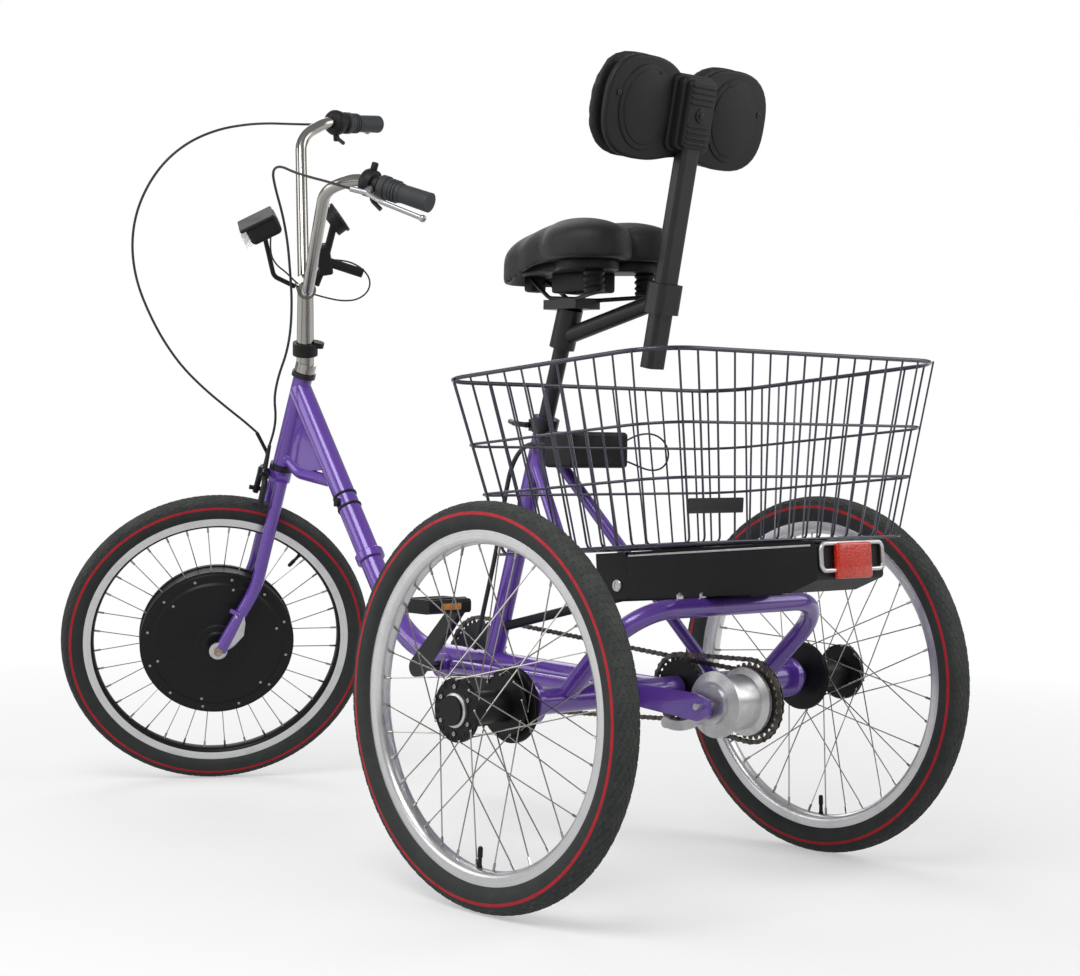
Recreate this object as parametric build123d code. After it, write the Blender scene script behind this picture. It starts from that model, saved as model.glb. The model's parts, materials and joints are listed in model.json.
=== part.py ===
"""Electric tricycle: a purple step-through tricycle with three 24 inch wheels, a hub motor in the front
wheel, a wide saddle with a backrest, and a wire basket and battery over the rear axle.

Millimetres. The front of the tricycle faces -Y, the rider's left hand is at +X, and +Z is up. Everything is
drawn with the rear axle over Y = 0 and the ground at Z = 0, and is moved along Y at the end, so that the
origin is under the middle of the whole tricycle. The front wheel is parked turned to the left.
"""

import math
import os

from build123d import *

os.makedirs("parts", exist_ok=True)

# ------------------------------------------------------------------ clearances
SEAT_GAP = 0.3  # between pieces that sit on each other
RUN_GAP = 0.08  # between a shaft and the bore it turns in

# ------------------------------------------------------------------ wheels
WHEEL_R = 304.0
AXLE_Z = WHEEL_R  # of the rear axle above the ground
TYRE_W = 48.0
TYRE_DEPTH = 44.0
RIM_W = 29.0
RIM_DEPTH = 20.0
SPOKE_D = 2.2
SPOKES = 36
REAR_TRACK = 755.0  # between the centre planes of the rear tyres
HUB_OUT = 58.0  # rear hub flange outboard of the tyre's centre plane
HUB_IN = 33.0  # rear hub flange inboard of it
HUB_FLANGE_R = 47.0
HUB_FLANGE_T = 7.0
HUB_BARREL_R = 24.0
HUB_CAP_R = 22.0
HUB_CAP_L = 9.0
DRUM_R = 55.0
DRUM_T = 9.0
DRUM_SPACE = 7.0  # between the drum and the inner flange, for the spokes
SPOKE_REACH = (5.0, 6.0)  # of spokes from the middle of their flange, on its near and far faces
AXLE_R = 10.0
MOTOR_R = 152.0
MOTOR_W = 62.0
MOTOR_RIM_W = 40.0
FRONT_AXLE_R = 6.0
AXLE_TIP_R = 5.0  # threaded ends outside the fork
AXLE_TIP_L = 12.0

# ------------------------------------------------------------------ front end
HEAD_ANGLE = 21.3  # of the steering axis from upright
HEAD_TOP_Y = -982.0
HEAD_TOP_Z = 2 * WHEEL_R + 204.0
HEAD_LEN = 181.0
HEAD_R = 18.5
STEERER_R = 14.2
CUP_R = 23.0
CUP_H = 10.0
FORK_OFFSET = 46.0
FORK_HALF = 56.0  # blade tips from the centre plane
CROWN_HALF = 41.0
CROWN_DROP = 22.0
BLADE_R = 12.5
STEER_PARKED = 61.3  # to the left of straight ahead
STEM_Y = HEAD_TOP_Y + 30.0
STEM_Z = HEAD_TOP_Z + 176.0
STEM_R = 15.0
CLAMP_R = 18.0
CLAMP_HALF = 24.0
BAR_R = 11.1
BAR_FOOT = (38.0, 0.0, 0.0)  # corners of the bar: out, back and up from the stem's clamp
BAR_TOP = (240.0, 47.0, 237.0)
BAR_SWEEP = (266.0, 103.0, 252.0)
BAR_TIP = (362.0, 210.0, 215.0)
GRIP_R = 17.5
GRIP_L = 100.0
TWIST_L = 42.0  # of the grip's inner, thicker part
LEVER_REACH = 30.0  # from the bar to the lever's pivot
LAMP_BACK = -62.0  # from the stem's clamp
LAMP_UP = 128.0
LAMP_W = 74.0
LAMP_L = 62.0
LAMP_H = 38.0
LAMP_TILT = 18.0
DIAL_X = 30.0
DIAL_BACK = 71.0  # from the stem's clamp
DIAL_UP = 126.0
DIAL_R = 27.0
BRAKE_AHEAD = 8.0  # of the brake's bolt in front of the crown
TORQUE_ARM_T = 4.0

# ------------------------------------------------------------------ frame
MAIN_R = 21.5
MAIN_TOP_Z = HEAD_TOP_Z - 23.0  # where it meets the steering axis
MAIN_LOW_Y = -651.0
MAIN_LOW_Z = AXLE_Z + 9.0
MAIN_BEND = 190.0
BEAM_END_Z = AXLE_Z - 4.0
BRACE_R = 12.0
BB_Y = -520.0
BB_Z = AXLE_Z - 6.0
BB_R = 21.0
BB_HALF = 36.0
SEAT_TUBE_R = 17.0
SEAT_TUBE_LEAN = 17.0
SEAT_FOOT_Y = -421.0
SEAT_TUBE_TOP_Z = AXLE_Z + 431.0
POST_R = 13.5
STAY_R = 10.0
STAY_TOP_Z = SEAT_TUBE_TOP_Z - 45.0
STAY_TOP_HALF = 30.0
STAY_FOOT_HALF = 125.0
LOW_STAY_R = 12.0
HOUSING_R = 20.0
HOUSING_OUT = 318.0
SPROCKET_X = -32.0
SPROCKET_ROOM = 8.5  # from the sprocket's middle to the left housing
HOOP_R = 15.0
HOOP_HALF = 225.0
HOOP_REACH = 203.0
HOOP_ANGLE = 45.0
HOOP_BEND = 85.0

# ------------------------------------------------------------------ drive
CRANK_L = 165.0
CRANK_X = 84.0
CRANK_T = 13.0
CRANK_TURN = 46.0  # of the left crank, above the line to the rear
SPINDLE_R = 8.5
CHAIN_X = -60.0
CHAINRING_R = 76.0
HUB_COG_R = 35.0
PEDAL_L = 92.0
PEDAL_W = 78.0
PEDAL_H = 24.0
PEDAL_WELL = (PEDAL_L - 22, PEDAL_W * 0.28, PEDAL_H + 2)  # each of the two openings through it
GEAR_HUB_Y = 150.0
GEAR_HUB_Z = AXLE_Z - 6.0
GEAR_HUB_R = 53.0
GEAR_HUB_L = 86.0
GEAR_HUB_MID = 14.0
DRIVE_RING_R = 60.0
AXLE_COG_R = 50.0
CHAIN_H = 8.0
CHAIN_T = 6.0
CHAIN_PITCH = 12.7
TOOTH_H = 5.0
SPROCKET_T = 4.0
DROPOUT_X = 76.0
DROPOUT_T = 6.0
GEAR_AXLE_R = 5.0
BRAKE_ARM_T = 4.0

# ------------------------------------------------------------------ seat
SADDLE_Y = -206.0
SADDLE_W = 268.0
SADDLE_L = 312.0
SADDLE_NOSE_R = 62.0
SADDLE_CHEEK_R = 82.0
SADDLE_CHANNEL = 12.0  # depth of the channel down its middle
POST_TOP_Z = SEAT_TUBE_TOP_Z + 170.0
CLAMP_TOP = 26.0  # of the saddle clamp above the post's top
SADDLE_LOW = POST_TOP_Z + 80.0
SADDLE_TOP = SADDLE_LOW + 79.0
ARM_R = 14.0
ARM_TIP_Z = POST_TOP_Z + 20.0
BACK_POST_Z0 = POST_TOP_Z - 90.0
BACK_POST_Z1 = POST_TOP_Z + 320.0
BACK_POST_Y0 = -42.0
BACK_POST_Y1 = 43.0
BACK_POST_A = 19.0
BACK_POST_B = 13.0
PAD_W = 372.0
PAD_H = 168.0
PAD_T = 34.0
PAD_Z = BACK_POST_Z1 - 7.0
SHELL_T = 7.0
SPINE_T = 9.0  # of the ribbed block behind the shell, around the post

# ------------------------------------------------------------------ rack, battery and basket
RACK_TILT = 5.2
RACK_Z = AXLE_Z + 221.0  # top of the battery over the rear axle
BATTERY_W = 150.0
BATTERY_H = 74.0
BATTERY_FRONT = -20.0
BATTERY_REAR = 368.0
GUARD_W = 146.0  # of the metal loop around the tail reflector
GUARD_H = 46.0
GUARD_T = 7.0
REFLECTOR_W = 78.0
REFLECTOR_H = 53.0
REFLECTOR_T = 10.0
HOUSING_FRONT = -88.0
RACK_T = 3.0
STRUT_Z = AXLE_Z + 68.0  # of the rack's strut at the seat tube
BASKET_W = 665.0
BASKET_FRONT = -165.5
BASKET_REAR = 320.5
BASKET_DEPTH = 272.0
BASKET_SIDE_TAPER = 0.205
BASKET_FRONT_TAPER = 0.145
BASKET_REAR_TAPER = 0.176
BASKET_CORNER = 78.0
RIM_WIRE = 7.0
RING_WIRE = 4.6
UPRIGHT_WIRE = 4.0
RING_DEPTHS = (102.0, 179.0)
WIRE_PITCH = 44.0
BASKET_LIFT = 4.9  # of the floor wires above the rack's top
CONTROLLER_X = -26.0
CONTROLLER_Y = -218.0
CONTROLLER_Z = STAY_TOP_Z - 8.0
CONTROLLER_W = 132.0
CONTROLLER_L = 70.0
CONTROLLER_H = 60.0

# ------------------------------------------------------------------ cables
CABLE_R = 2.4
WIRE_R = 1.6
LOOM_R = 4.0
RIGHT_BRAKE_CABLE = [  # from the right lever, in a wide bow ahead of the bar, down to the front brake
    (-299.3, -866.3, 1231.8),
    (-276, -903, 1242),
    (-232, -936, 1256),
    (-176, -968, 1272),
    (-128, -1012, 1285),
    (-98, -1066, 1289),
    (-76, -1124, 1278),
    (-58, -1176, 1250),
    (-44, -1217, 1208),
    (-34, -1246, 1158),
    (-27, -1261, 1101),
    (-22, -1262, 1040),
    (-18, -1250, 980),
    (-15, -1232, 922),
    (-12, -1206, 866),
    (-10, -1170, 814),
    (-9, -1130, 766),
    (-9, -1104, 736),
    (-9, -1086.3, 712.5),
]
LEFT_BRAKE_CABLE = [  # from the left lever, up over the lamp and down in front of the head tube
    (299.3, -866.3, 1231.8),
    (268, -897, 1241),
    (222, -928, 1245),
    (176, -952, 1248),
    (132, -973, 1254),
    (102, -986, 1240),
    (82, -984, 1202),
    (66, -977, 1148),
    (50, -975, 1090),
    (38, -978, 1034),
    (32, -982, 980),
    (30, -992, 922),
    (29, -1007, 874),
    (28, -1029, 832),
    (28, -1044, 790),
    (25, -1046, 750),
    (19, -1055, 716),
    (16, -1066.4, 692.2),
]
LAMP_WIRE = [  # from under the lamp back to the stem's clamp
    (12, -1003, 1096),
    (12, -1009, 1069),
    (14, -1002, 1044),
    (18, -985, 1027),
    (20, -973, 1010),
    (20, -965.4, 1001.4),
]
DIAL_WIRE = [  # from the dial's bracket, out behind the stem and back to it
    (-4, -896.2, 1032),
    (-8, -876, 1027),
    (-14, -854, 1016),
    (-17, -835, 998),
    (-15, -826, 976),
    (-10, -835, 956),
    (-6, -857, 946),
    (-3, -882, 948),
    (-1, -909, 957),
    (0, -937.6, 971),
]
CONTROLLER_LOOP = [  # out of the controller's right end and back into it
    (-92.4, -205, 692),
    (-113, -205, 701),
    (-138, -205, 709),
    (-165, -203, 711),
    (-190, -202, 703),
    (-206, -201, 684),
    (-205, -201, 664),
    (-190, -202, 650),
    (-166, -204, 647),
    (-141, -205, 653),
    (-117, -205, 661),
    (-92.4, -205, 667),
]
SEAT_TUBE_LOOM = [  # from the controller's front, past the seat tube and down its left side to the beam
    (28, -253.4, 690),
    (33, -282, 693),
    (35, -313, 683),
    (32, -341, 652),
    (28, -359, 604),
    (26, -372, 552),
    (25, -387, 497),
    (25, -403, 443),
    (24, -419, 394),
    (19, -436, 355),
    (14, -449, 332),
]


# ------------------------------------------------------------------ helpers
def vec(x, y, z):
    return Vector(x, y, z)


def rod(a, b, radius):
    """A round bar from a to b."""
    a, b = Vector(a), Vector(b)
    return Solid.make_cylinder(radius, (b - a).length, Plane(origin=a, z_dir=b - a))


def cone(a, b, radius_a, radius_b):
    """A tapered round bar from a to b."""
    a, b = Vector(a), Vector(b)
    return Solid.make_cone(radius_a, radius_b, (b - a).length, Plane(origin=a, z_dir=b - a))


def bent_bar(points, bends, radius):
    """A round bar along straight runs joined by arcs."""
    path = FilletPolyline(*[Vector(p) for p in points], radius=bends)
    face = Plane(origin=path @ 0, z_dir=path % 0) * Circle(radius)
    return sweep(face, path=path).solid()


def disc(x, radius, thick, y=0.0, z=0.0, bore=0.0):
    """A disc across the X axis, centred at x."""
    body = Solid.make_cylinder(radius, thick, Plane(origin=(x - thick / 2, y, z), z_dir=(1, 0, 0)))
    if bore:
        start = Plane(origin=(x - thick / 2 - 1, y, z), z_dir=(1, 0, 0))
        body = body - Solid.make_cylinder(bore, thick + 2, start)
    return body


def sprocket(x, radius, y=0.0, z=0.0):
    """A toothed wheel across the X axis, with one tooth for each link of chain around it; its tips are at radius."""
    teeth = round(math.tau * radius / CHAIN_PITCH)
    corners = []
    for n in range(teeth):
        for share, depth in ((0.0, TOOTH_H), (0.34, TOOTH_H), (0.56, 0.0), (0.78, 0.0)):
            turn = math.tau * (n + share) / teeth
            corners.append(((radius - depth) * math.cos(turn), (radius - depth) * math.sin(turn)))
    plane = Plane(origin=(x - SPROCKET_T / 2, y, z), x_dir=(0, 1, 0), z_dir=(1, 0, 0))
    return extrude(plane * make_face(Polyline(*corners, close=True)), SPROCKET_T).solid()


def block(x, y, z, dx, dy, dz):
    """A box centred at x, y, z."""
    return Pos(x, y, z) * Box(dx, dy, dz)


def join(*shapes):
    """One solid from shapes that overlap."""
    first, *rest = shapes
    return first.fuse(*rest) if rest else first


def group(shapes):
    """Several solids that don't touch, kept in one piece."""
    return Compound(children=[s for s in shapes])


def lathe(points, x=0.0):
    """A closed outline of (x, radius) points turned once around the X axis."""
    outline = make_face(Polyline(*[(x + px, r) for px, r in points], close=True))
    return revolve(outline, axis=Axis.X)


# ------------------------------------------------------------------ steering axis
LEAN = math.radians(HEAD_ANGLE)
UP_AXIS = vec(0, math.sin(LEAN), math.cos(LEAN))
AHEAD = vec(0, -math.cos(LEAN), math.sin(LEAN))
HEAD_TOP = vec(0, HEAD_TOP_Y, HEAD_TOP_Z)
HEAD_FOOT = HEAD_TOP - UP_AXIS * HEAD_LEN
STEER_AXIS = Axis(HEAD_TOP, UP_AXIS)


def along_steerer(down, ahead=0.0, x=0.0):
    """A point down the steering axis from the head tube's top, and ahead of the axis."""
    return HEAD_TOP - UP_AXIS * down + AHEAD * ahead + vec(x, 0, 0)


def parked(shape):
    """Turns a piece of the front end from straight ahead to where it is parked."""
    return shape.rotate(STEER_AXIS, STEER_PARKED)


def tyre_section():
    """Half of a tyre's outline as (out from the centre plane, radius), from its bead to its crown."""
    half, seat = TYRE_W / 2, WHEEL_R - TYRE_DEPTH
    return [
        (RIM_W / 2 - 1, seat),
        (half, seat + TYRE_DEPTH * 0.42),
        (half * 0.84, seat + TYRE_DEPTH * 0.78),
        (half * 0.38, WHEEL_R),
    ]


def front_axle():
    """The front axle's place when steered straight, so that the parked wheel stands on the ground."""
    turn = math.radians(STEER_PARKED)
    tilt = math.sin(LEAN) * math.sin(turn)
    centre_z = max(r * math.sqrt(1 - tilt**2) + x * abs(tilt) for x, r in tyre_section())
    flop = FORK_OFFSET * math.sin(LEAN) * math.cos(turn)
    down = (HEAD_TOP_Z + flop - centre_z) / math.cos(LEAN)
    return along_steerer(down, FORK_OFFSET)


FRONT_AXLE = front_axle()


# ------------------------------------------------------------------ wheels
def tyre(x=0.0):
    """A tyre around the X axis, with a rounded crown, straight shoulders and its beads on the rim."""
    outline = [(-px, r) for px, r in tyre_section()]
    return lathe(outline + [(-px, r) for px, r in reversed(outline)], x)


def rim(x=0.0):
    """A box-section rim under the tyre's beads."""
    seat = WHEEL_R - TYRE_DEPTH - SEAT_GAP
    half, inner = RIM_W / 2, seat - RIM_DEPTH
    outline = [(-half, seat), (-half, seat - 12), (-half * 0.35, inner)]
    return lathe(outline + [(-px, r) for px, r in reversed(outline)], x)


RIM_INNER = WHEEL_R - TYRE_DEPTH - SEAT_GAP - RIM_DEPTH


def spokes(hub_radius, flanges, reach, rim_x, lace):
    """Spokes from two flanges to the rim, each a slim six-sided bar. Laced spokes leave a flange from both
    its faces, reach[0] clear of the middle on the near face and reach[1] on the far one."""
    bars = []
    for i in range(SPOKES):
        flange = flanges[i % 2]
        way = 1 if (i // 2) % 2 else -1
        away = way * (1 if flange > rim_x else -1)
        at_rim = math.radians(360 / SPOKES * (i + 0.5))
        at_hub = at_rim + math.radians(lace * way)
        x = flange + way * reach[1 if away > 0 else 0]
        a = vec(x, math.cos(at_hub) * hub_radius, math.sin(at_hub) * hub_radius)
        end = RIM_INNER - SEAT_GAP
        b = vec(rim_x + (2 if i % 2 else -2), math.cos(at_rim) * end, math.sin(at_rim) * end)
        bars.append(extrude(Plane(origin=a, z_dir=b - a) * RegularPolygon(SPOKE_D / 2, 6), (b - a).length))
    return group(bars)


def rear_wheel(side):
    """The pieces of a rear wheel about its own axle; side is +1 for the rider's left. The right wheel's
    shaft runs in to the middle and carries the sprocket."""
    mid = side * REAR_TRACK / 2
    outer, inner = mid + side * HUB_OUT, mid - side * HUB_IN
    drum = inner - side * (HUB_FLANGE_T / 2 + DRUM_SPACE + DRUM_T / 2)
    shaft_end = SPROCKET_X + 3 if side < 0 else HOUSING_OUT - 70
    pieces = [
        disc(outer, HUB_FLANGE_R, HUB_FLANGE_T),
        disc(inner, HUB_FLANGE_R, HUB_FLANGE_T),
        disc(drum, DRUM_R, DRUM_T),
        disc(outer + side * (HUB_FLANGE_T + HUB_CAP_L) / 2, HUB_CAP_R, HUB_CAP_L),
        rod((drum, 0, 0), (shaft_end, 0, 0), AXLE_R),
    ]
    if side < 0:
        pieces.append(sprocket(SPROCKET_X, AXLE_COG_R - SEAT_GAP))
        pieces.append(disc(SPROCKET_X, AXLE_R + 9, 6))
    return {
        "tyre": tyre(mid),
        "rim": rim(mid),
        "spokes": spokes(HUB_FLANGE_R - 1.5, (outer, inner), SPOKE_REACH, mid, 60),
        "hub": rod((drum, 0, 0), (outer, 0, 0), HUB_BARREL_R).fuse(*pieces),
    }


def front_motor():
    """The hub motor: a wide flat drum with domed covers, and its axle."""
    half, edge = MOTOR_W / 2, MOTOR_RIM_W / 2
    outline = [(-half, FRONT_AXLE_R + 12), (-half, MOTOR_R * 0.42), (-edge - 4, MOTOR_R - 22)]
    outline += [(-edge, MOTOR_R - 20), (-edge, MOTOR_R)]
    outline += [(-px, r) for px, r in reversed(outline)]
    drum = lathe(outline + [(half, 0), (-half, 0)])
    end = FORK_HALF + 5
    tip = end + AXLE_TIP_L
    axle = rod((-end, 0, 0), (end, 0, 0), FRONT_AXLE_R)
    return join(drum, axle, rod((-tip, 0, 0), (tip, 0, 0), AXLE_TIP_R))


def build_wheels():
    """All three wheels at their places."""
    nodes = {}
    for name, side in (("left", 1), ("right", -1)):
        for piece, shape in rear_wheel(side).items():
            nodes[f"{name}_{piece}"] = Pos(0, 0, AXLE_Z) * shape
    front = {
        "tyre": tyre(),
        "rim": rim(),
        "spokes": spokes(MOTOR_R + SEAT_GAP, (MOTOR_RIM_W / 2 - 6, 6 - MOTOR_RIM_W / 2), (0, 0), 0, 0),
        "motor": front_motor(),
    }
    for piece, shape in front.items():
        nodes[f"front_{piece}"] = parked(Pos(*FRONT_AXLE) * shape)
    return nodes


# ------------------------------------------------------------------ frame
def seat_line(z):
    """A point on the seat tube's centre line at height z."""
    return vec(0, SEAT_FOOT_Y + (z - AXLE_Z) * math.tan(math.radians(SEAT_TUBE_LEAN)), z)


def seat_up():
    """The unit vector up the seat tube."""
    return (seat_line(SEAT_TUBE_TOP_Z) - seat_line(AXLE_Z)).normalized()


def hoop_point(reach, x=0.0):
    """A point in the hoop's plane, reach up and back from the rear axle."""
    slope = math.radians(HOOP_ANGLE)
    return vec(x, reach * math.cos(slope), AXLE_Z + reach * math.sin(slope))


def main_frame():
    """Head tube, bent main tube, brace, seat tube, bottom bracket, stays and axle housings, welded up."""
    head = rod(HEAD_TOP, HEAD_FOOT, HEAD_R)
    main_top = along_steerer((HEAD_TOP_Z - MAIN_TOP_Z) / math.cos(LEAN))
    corner = vec(0, MAIN_LOW_Y, MAIN_LOW_Z)
    slope = (corner - main_top).normalized()
    main = bent_bar([main_top, corner, (0, -HOUSING_R / 2, BEAM_END_Z)], MAIN_BEND, MAIN_R)
    brace_low = main_top + slope * 190
    brace = bent_bar(
        [along_steerer(HEAD_LEN - 18), along_steerer(HEAD_LEN - 6, -62), brace_low + slope * 30],
        40,
        BRACE_R,
    )
    bracket = rod((-BB_HALF, BB_Y, BB_Z), (BB_HALF, BB_Y, BB_Z), BB_R)
    seat_top = seat_line(SEAT_TUBE_TOP_Z)
    seat = rod(seat_line(BEAM_END_Z), seat_top, SEAT_TUBE_R)
    left_end = SPROCKET_X + SPROCKET_ROOM
    right_end = SPROCKET_X - SPROCKET_ROOM * 1.6
    left_housing = rod((HOUSING_OUT, 0, AXLE_Z), (left_end, 0, AXLE_Z), HOUSING_R)
    right_housing = rod((-HOUSING_OUT, 0, AXLE_Z), (right_end, 0, AXLE_Z), HOUSING_R)
    pieces = [main, brace, bracket, seat, left_housing, right_housing, dropout(1), dropout(-1)]
    stay_top = seat_line(STAY_TOP_Z)
    for side in (1, -1):
        top = stay_top + vec(side * 6, 0, 0)
        shoulder = stay_top + vec(side * STAY_TOP_HALF, 26, -40)
        foot = vec(side * STAY_FOOT_HALF, 0, AXLE_Z)
        pieces.append(bent_bar([top, shoulder, foot], 24, STAY_R))
        low_end = vec(side * DROPOUT_X * 0.9, 0, AXLE_Z - 6)
        pieces.append(rod((side * 24, BB_Y + 30, BB_Z), low_end, LOW_STAY_R))
    frame = head.fuse(*pieces)
    bores = [
        rod(HEAD_TOP + UP_AXIS * 2, HEAD_FOOT - UP_AXIS * 2, STEERER_R + RUN_GAP),
        rod(seat_line(SEAT_TUBE_TOP_Z - 160), seat_line(SEAT_TUBE_TOP_Z + 20), POST_R + SEAT_GAP),
        rod((-BB_HALF - 1, BB_Y, BB_Z), (BB_HALF + 1, BB_Y, BB_Z), SPINDLE_R + RUN_GAP),
        rod((-HOUSING_OUT - 1, 0, AXLE_Z), (right_end + 1, 0, AXLE_Z), AXLE_R + RUN_GAP),
        rod((HOUSING_OUT - 80, 0, AXLE_Z), (HOUSING_OUT + 1, 0, AXLE_Z), AXLE_R + RUN_GAP),
    ]
    return frame.cut(*bores)


def rear_hoop():
    """The bent tube over the axle that the rack stands on."""
    feet = [hoop_point(HOUSING_R, side * HOOP_HALF) for side in (1, -1)]
    tops = [hoop_point(HOOP_REACH, side * HOOP_HALF) for side in (1, -1)]
    hoop = bent_bar([feet[0], tops[0], tops[1], feet[1]], HOOP_BEND, HOOP_R)
    return hoop - rod((-HOUSING_OUT, 0, AXLE_Z), (HOUSING_OUT, 0, AXLE_Z), HOUSING_R + SEAT_GAP)


def dropout(side):
    """A plate from the axle housing back to the gear hub's axle."""
    x = side * DROPOUT_X
    plane = Plane(origin=(x - DROPOUT_T / 2, 0, 0), x_dir=(0, 1, 0), z_dir=(1, 0, 0))
    back = GEAR_HUB_Y + 16
    outline = Polyline(
        (0, AXLE_Z + 16),
        (back - 30, GEAR_HUB_Z + 18),
        (back, GEAR_HUB_Z + 10),
        (back, GEAR_HUB_Z - 14),
        (back - 24, GEAR_HUB_Z - 24),
        (0, AXLE_Z - 19),
        close=True,
    )
    plate = extrude(plane * make_face(outline), DROPOUT_T).solid()
    hub_axle = Pos(x, GEAR_HUB_Y, GEAR_HUB_Z) * rod((-10, 0, 0), (10, 0, 0), GEAR_AXLE_R + SEAT_GAP)
    return plate - hub_axle


def headset():
    """The upper and lower bearing cups pressed on the head tube."""
    upper = rod(HEAD_TOP + UP_AXIS * SEAT_GAP, HEAD_TOP + UP_AXIS * CUP_H, CUP_R)
    lower = rod(HEAD_FOOT - UP_AXIS * SEAT_GAP, HEAD_FOOT - UP_AXIS * CUP_H, CUP_R)
    bore = rod(HEAD_TOP + UP_AXIS * 20, HEAD_FOOT - UP_AXIS * 20, STEERER_R + RUN_GAP)
    return group([upper - bore, lower - bore])


# ------------------------------------------------------------------ steering
def fork():
    """Steerer, crown and two blades that curve ahead to the wheel's axle."""
    gap = CUP_H + 1.0
    steerer = rod(HEAD_TOP + UP_AXIS * 26, HEAD_FOOT - UP_AXIS * (gap + 4), STEERER_R)
    crown_at = HEAD_FOOT - UP_AXIS * (gap + CROWN_DROP / 2)
    crown = rod(HEAD_FOOT - UP_AXIS * gap, HEAD_FOOT - UP_AXIS * (gap + CROWN_DROP), CUP_R)
    bridge = rod(crown_at - vec(CROWN_HALF, 0, 0), crown_at + vec(CROWN_HALF, 0, 0), BLADE_R - 1)
    pieces = [crown, bridge]
    axle_down = (HEAD_TOP - FRONT_AXLE).dot(UP_AXIS)
    for side in (1, -1):
        top = crown_at + vec(side * CROWN_HALF, 0, 0)
        knee = along_steerer(axle_down - 140, 0, side * (CROWN_HALF + 5))
        tip = FRONT_AXLE + vec(side * FORK_HALF, 0, 0) - AHEAD * 4
        pieces.append(bent_bar([top, knee, tip], 190, BLADE_R))
        pieces.append(disc(side * FORK_HALF, 15, 8, FRONT_AXLE.Y, FRONT_AXLE.Z))
    whole = steerer.fuse(*pieces, torque_arm())
    return whole - rod(FRONT_AXLE - vec(90, 0, 0), FRONT_AXLE + vec(90, 0, 0), FRONT_AXLE_R + RUN_GAP)


def torque_arm():
    """The plate that stops the motor's axle turning: a ring round the axle and a bowed arm up behind the
    left blade."""
    x = FORK_HALF + 5
    plane = Plane(origin=(x - TORQUE_ARM_T, 0, 0), x_dir=(0, 1, 0), z_dir=(1, 0, 0))
    centre = (FRONT_AXLE.Y, FRONT_AXLE.Z)
    blade = FRONT_AXLE + UP_AXIS * 84 - AHEAD * 24
    bow = FRONT_AXLE + UP_AXIS * 44 - AHEAD * 34
    path = ThreePointArc(centre, (bow.Y, bow.Z), (blade.Y, blade.Z))
    arm = trace(path, 11) + Pos(*centre) * Circle(15) + Pos(blade.Y, blade.Z) * Circle(7)
    plate = extrude(plane * arm, TORQUE_ARM_T).solid()
    lug = rod(blade + vec(x, 0, 0), blade + AHEAD * 16 + vec(CROWN_HALF + 8, 0, 0), 5)
    return plate.fuse(lug)


def stem():
    """The quill stem, with the clamp across its top that holds the bar."""
    foot = HEAD_TOP + UP_AXIS * (CUP_H + 1)
    clamp = vec(0, STEM_Y, STEM_Z)
    collar = rod(foot, foot + UP_AXIS * 18, CUP_R - 3)
    post = cone(foot + UP_AXIS * 6, clamp, STEM_R + 2, STEM_R)
    barrel = rod(clamp - vec(CLAMP_HALF, 0, 0), clamp + vec(CLAMP_HALF, 0, 0), CLAMP_R)
    whole = collar.fuse(post, barrel)
    bar_hole = rod(clamp - vec(60, 0, 0), clamp + vec(60, 0, 0), BAR_R + SEAT_GAP)
    steerer_hole = rod(HEAD_TOP, HEAD_TOP + UP_AXIS * 26.5, STEERER_R + SEAT_GAP)
    return whole.cut(bar_hole, steerer_hole)


def bar_points():
    """Corners of the handlebar from the left tip to the right tip, steered straight."""
    left = [vec(x, STEM_Y + back, STEM_Z + up) for x, back, up in (BAR_TIP, BAR_SWEEP, BAR_TOP, BAR_FOOT)]
    return left + [vec(-p.X, p.Y, p.Z) for p in reversed(left)]


def handlebar():
    """The high swept-back bar, bent from one tube."""
    return bent_bar(bar_points(), [60, 60, 26, 26, 60, 60], BAR_R)


def both_sides(shape):
    """A piece of the left hand's side together with its mirror image."""
    return group([shape, shape.mirror(Plane.YZ)])


def grips():
    """Rubber grips over the last stretch of the bar, closed at their ends."""
    tip, before = bar_points()[:2]
    along = (before - tip).normalized()
    outer, inner = tip - along * 4, tip - along * 4 + along * GRIP_L
    body = cone(outer, inner, GRIP_R, GRIP_R - 1.5)
    twist_start = inner - along * TWIST_L
    collar_start = inner - along * 12
    twist = [cone(twist_start, collar_start, GRIP_R, GRIP_R + 2), rod(collar_start, inner, GRIP_R + 4)]
    twist += [rod(inner - along * d, inner - along * (d - 2.5), GRIP_R + 2.5) for d in (34, 28, 22)]
    bore = rod(tip - along * SEAT_GAP, inner + along * 4, BAR_R + SEAT_GAP)
    return both_sides(body.fuse(*twist).cut(bore))


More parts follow.
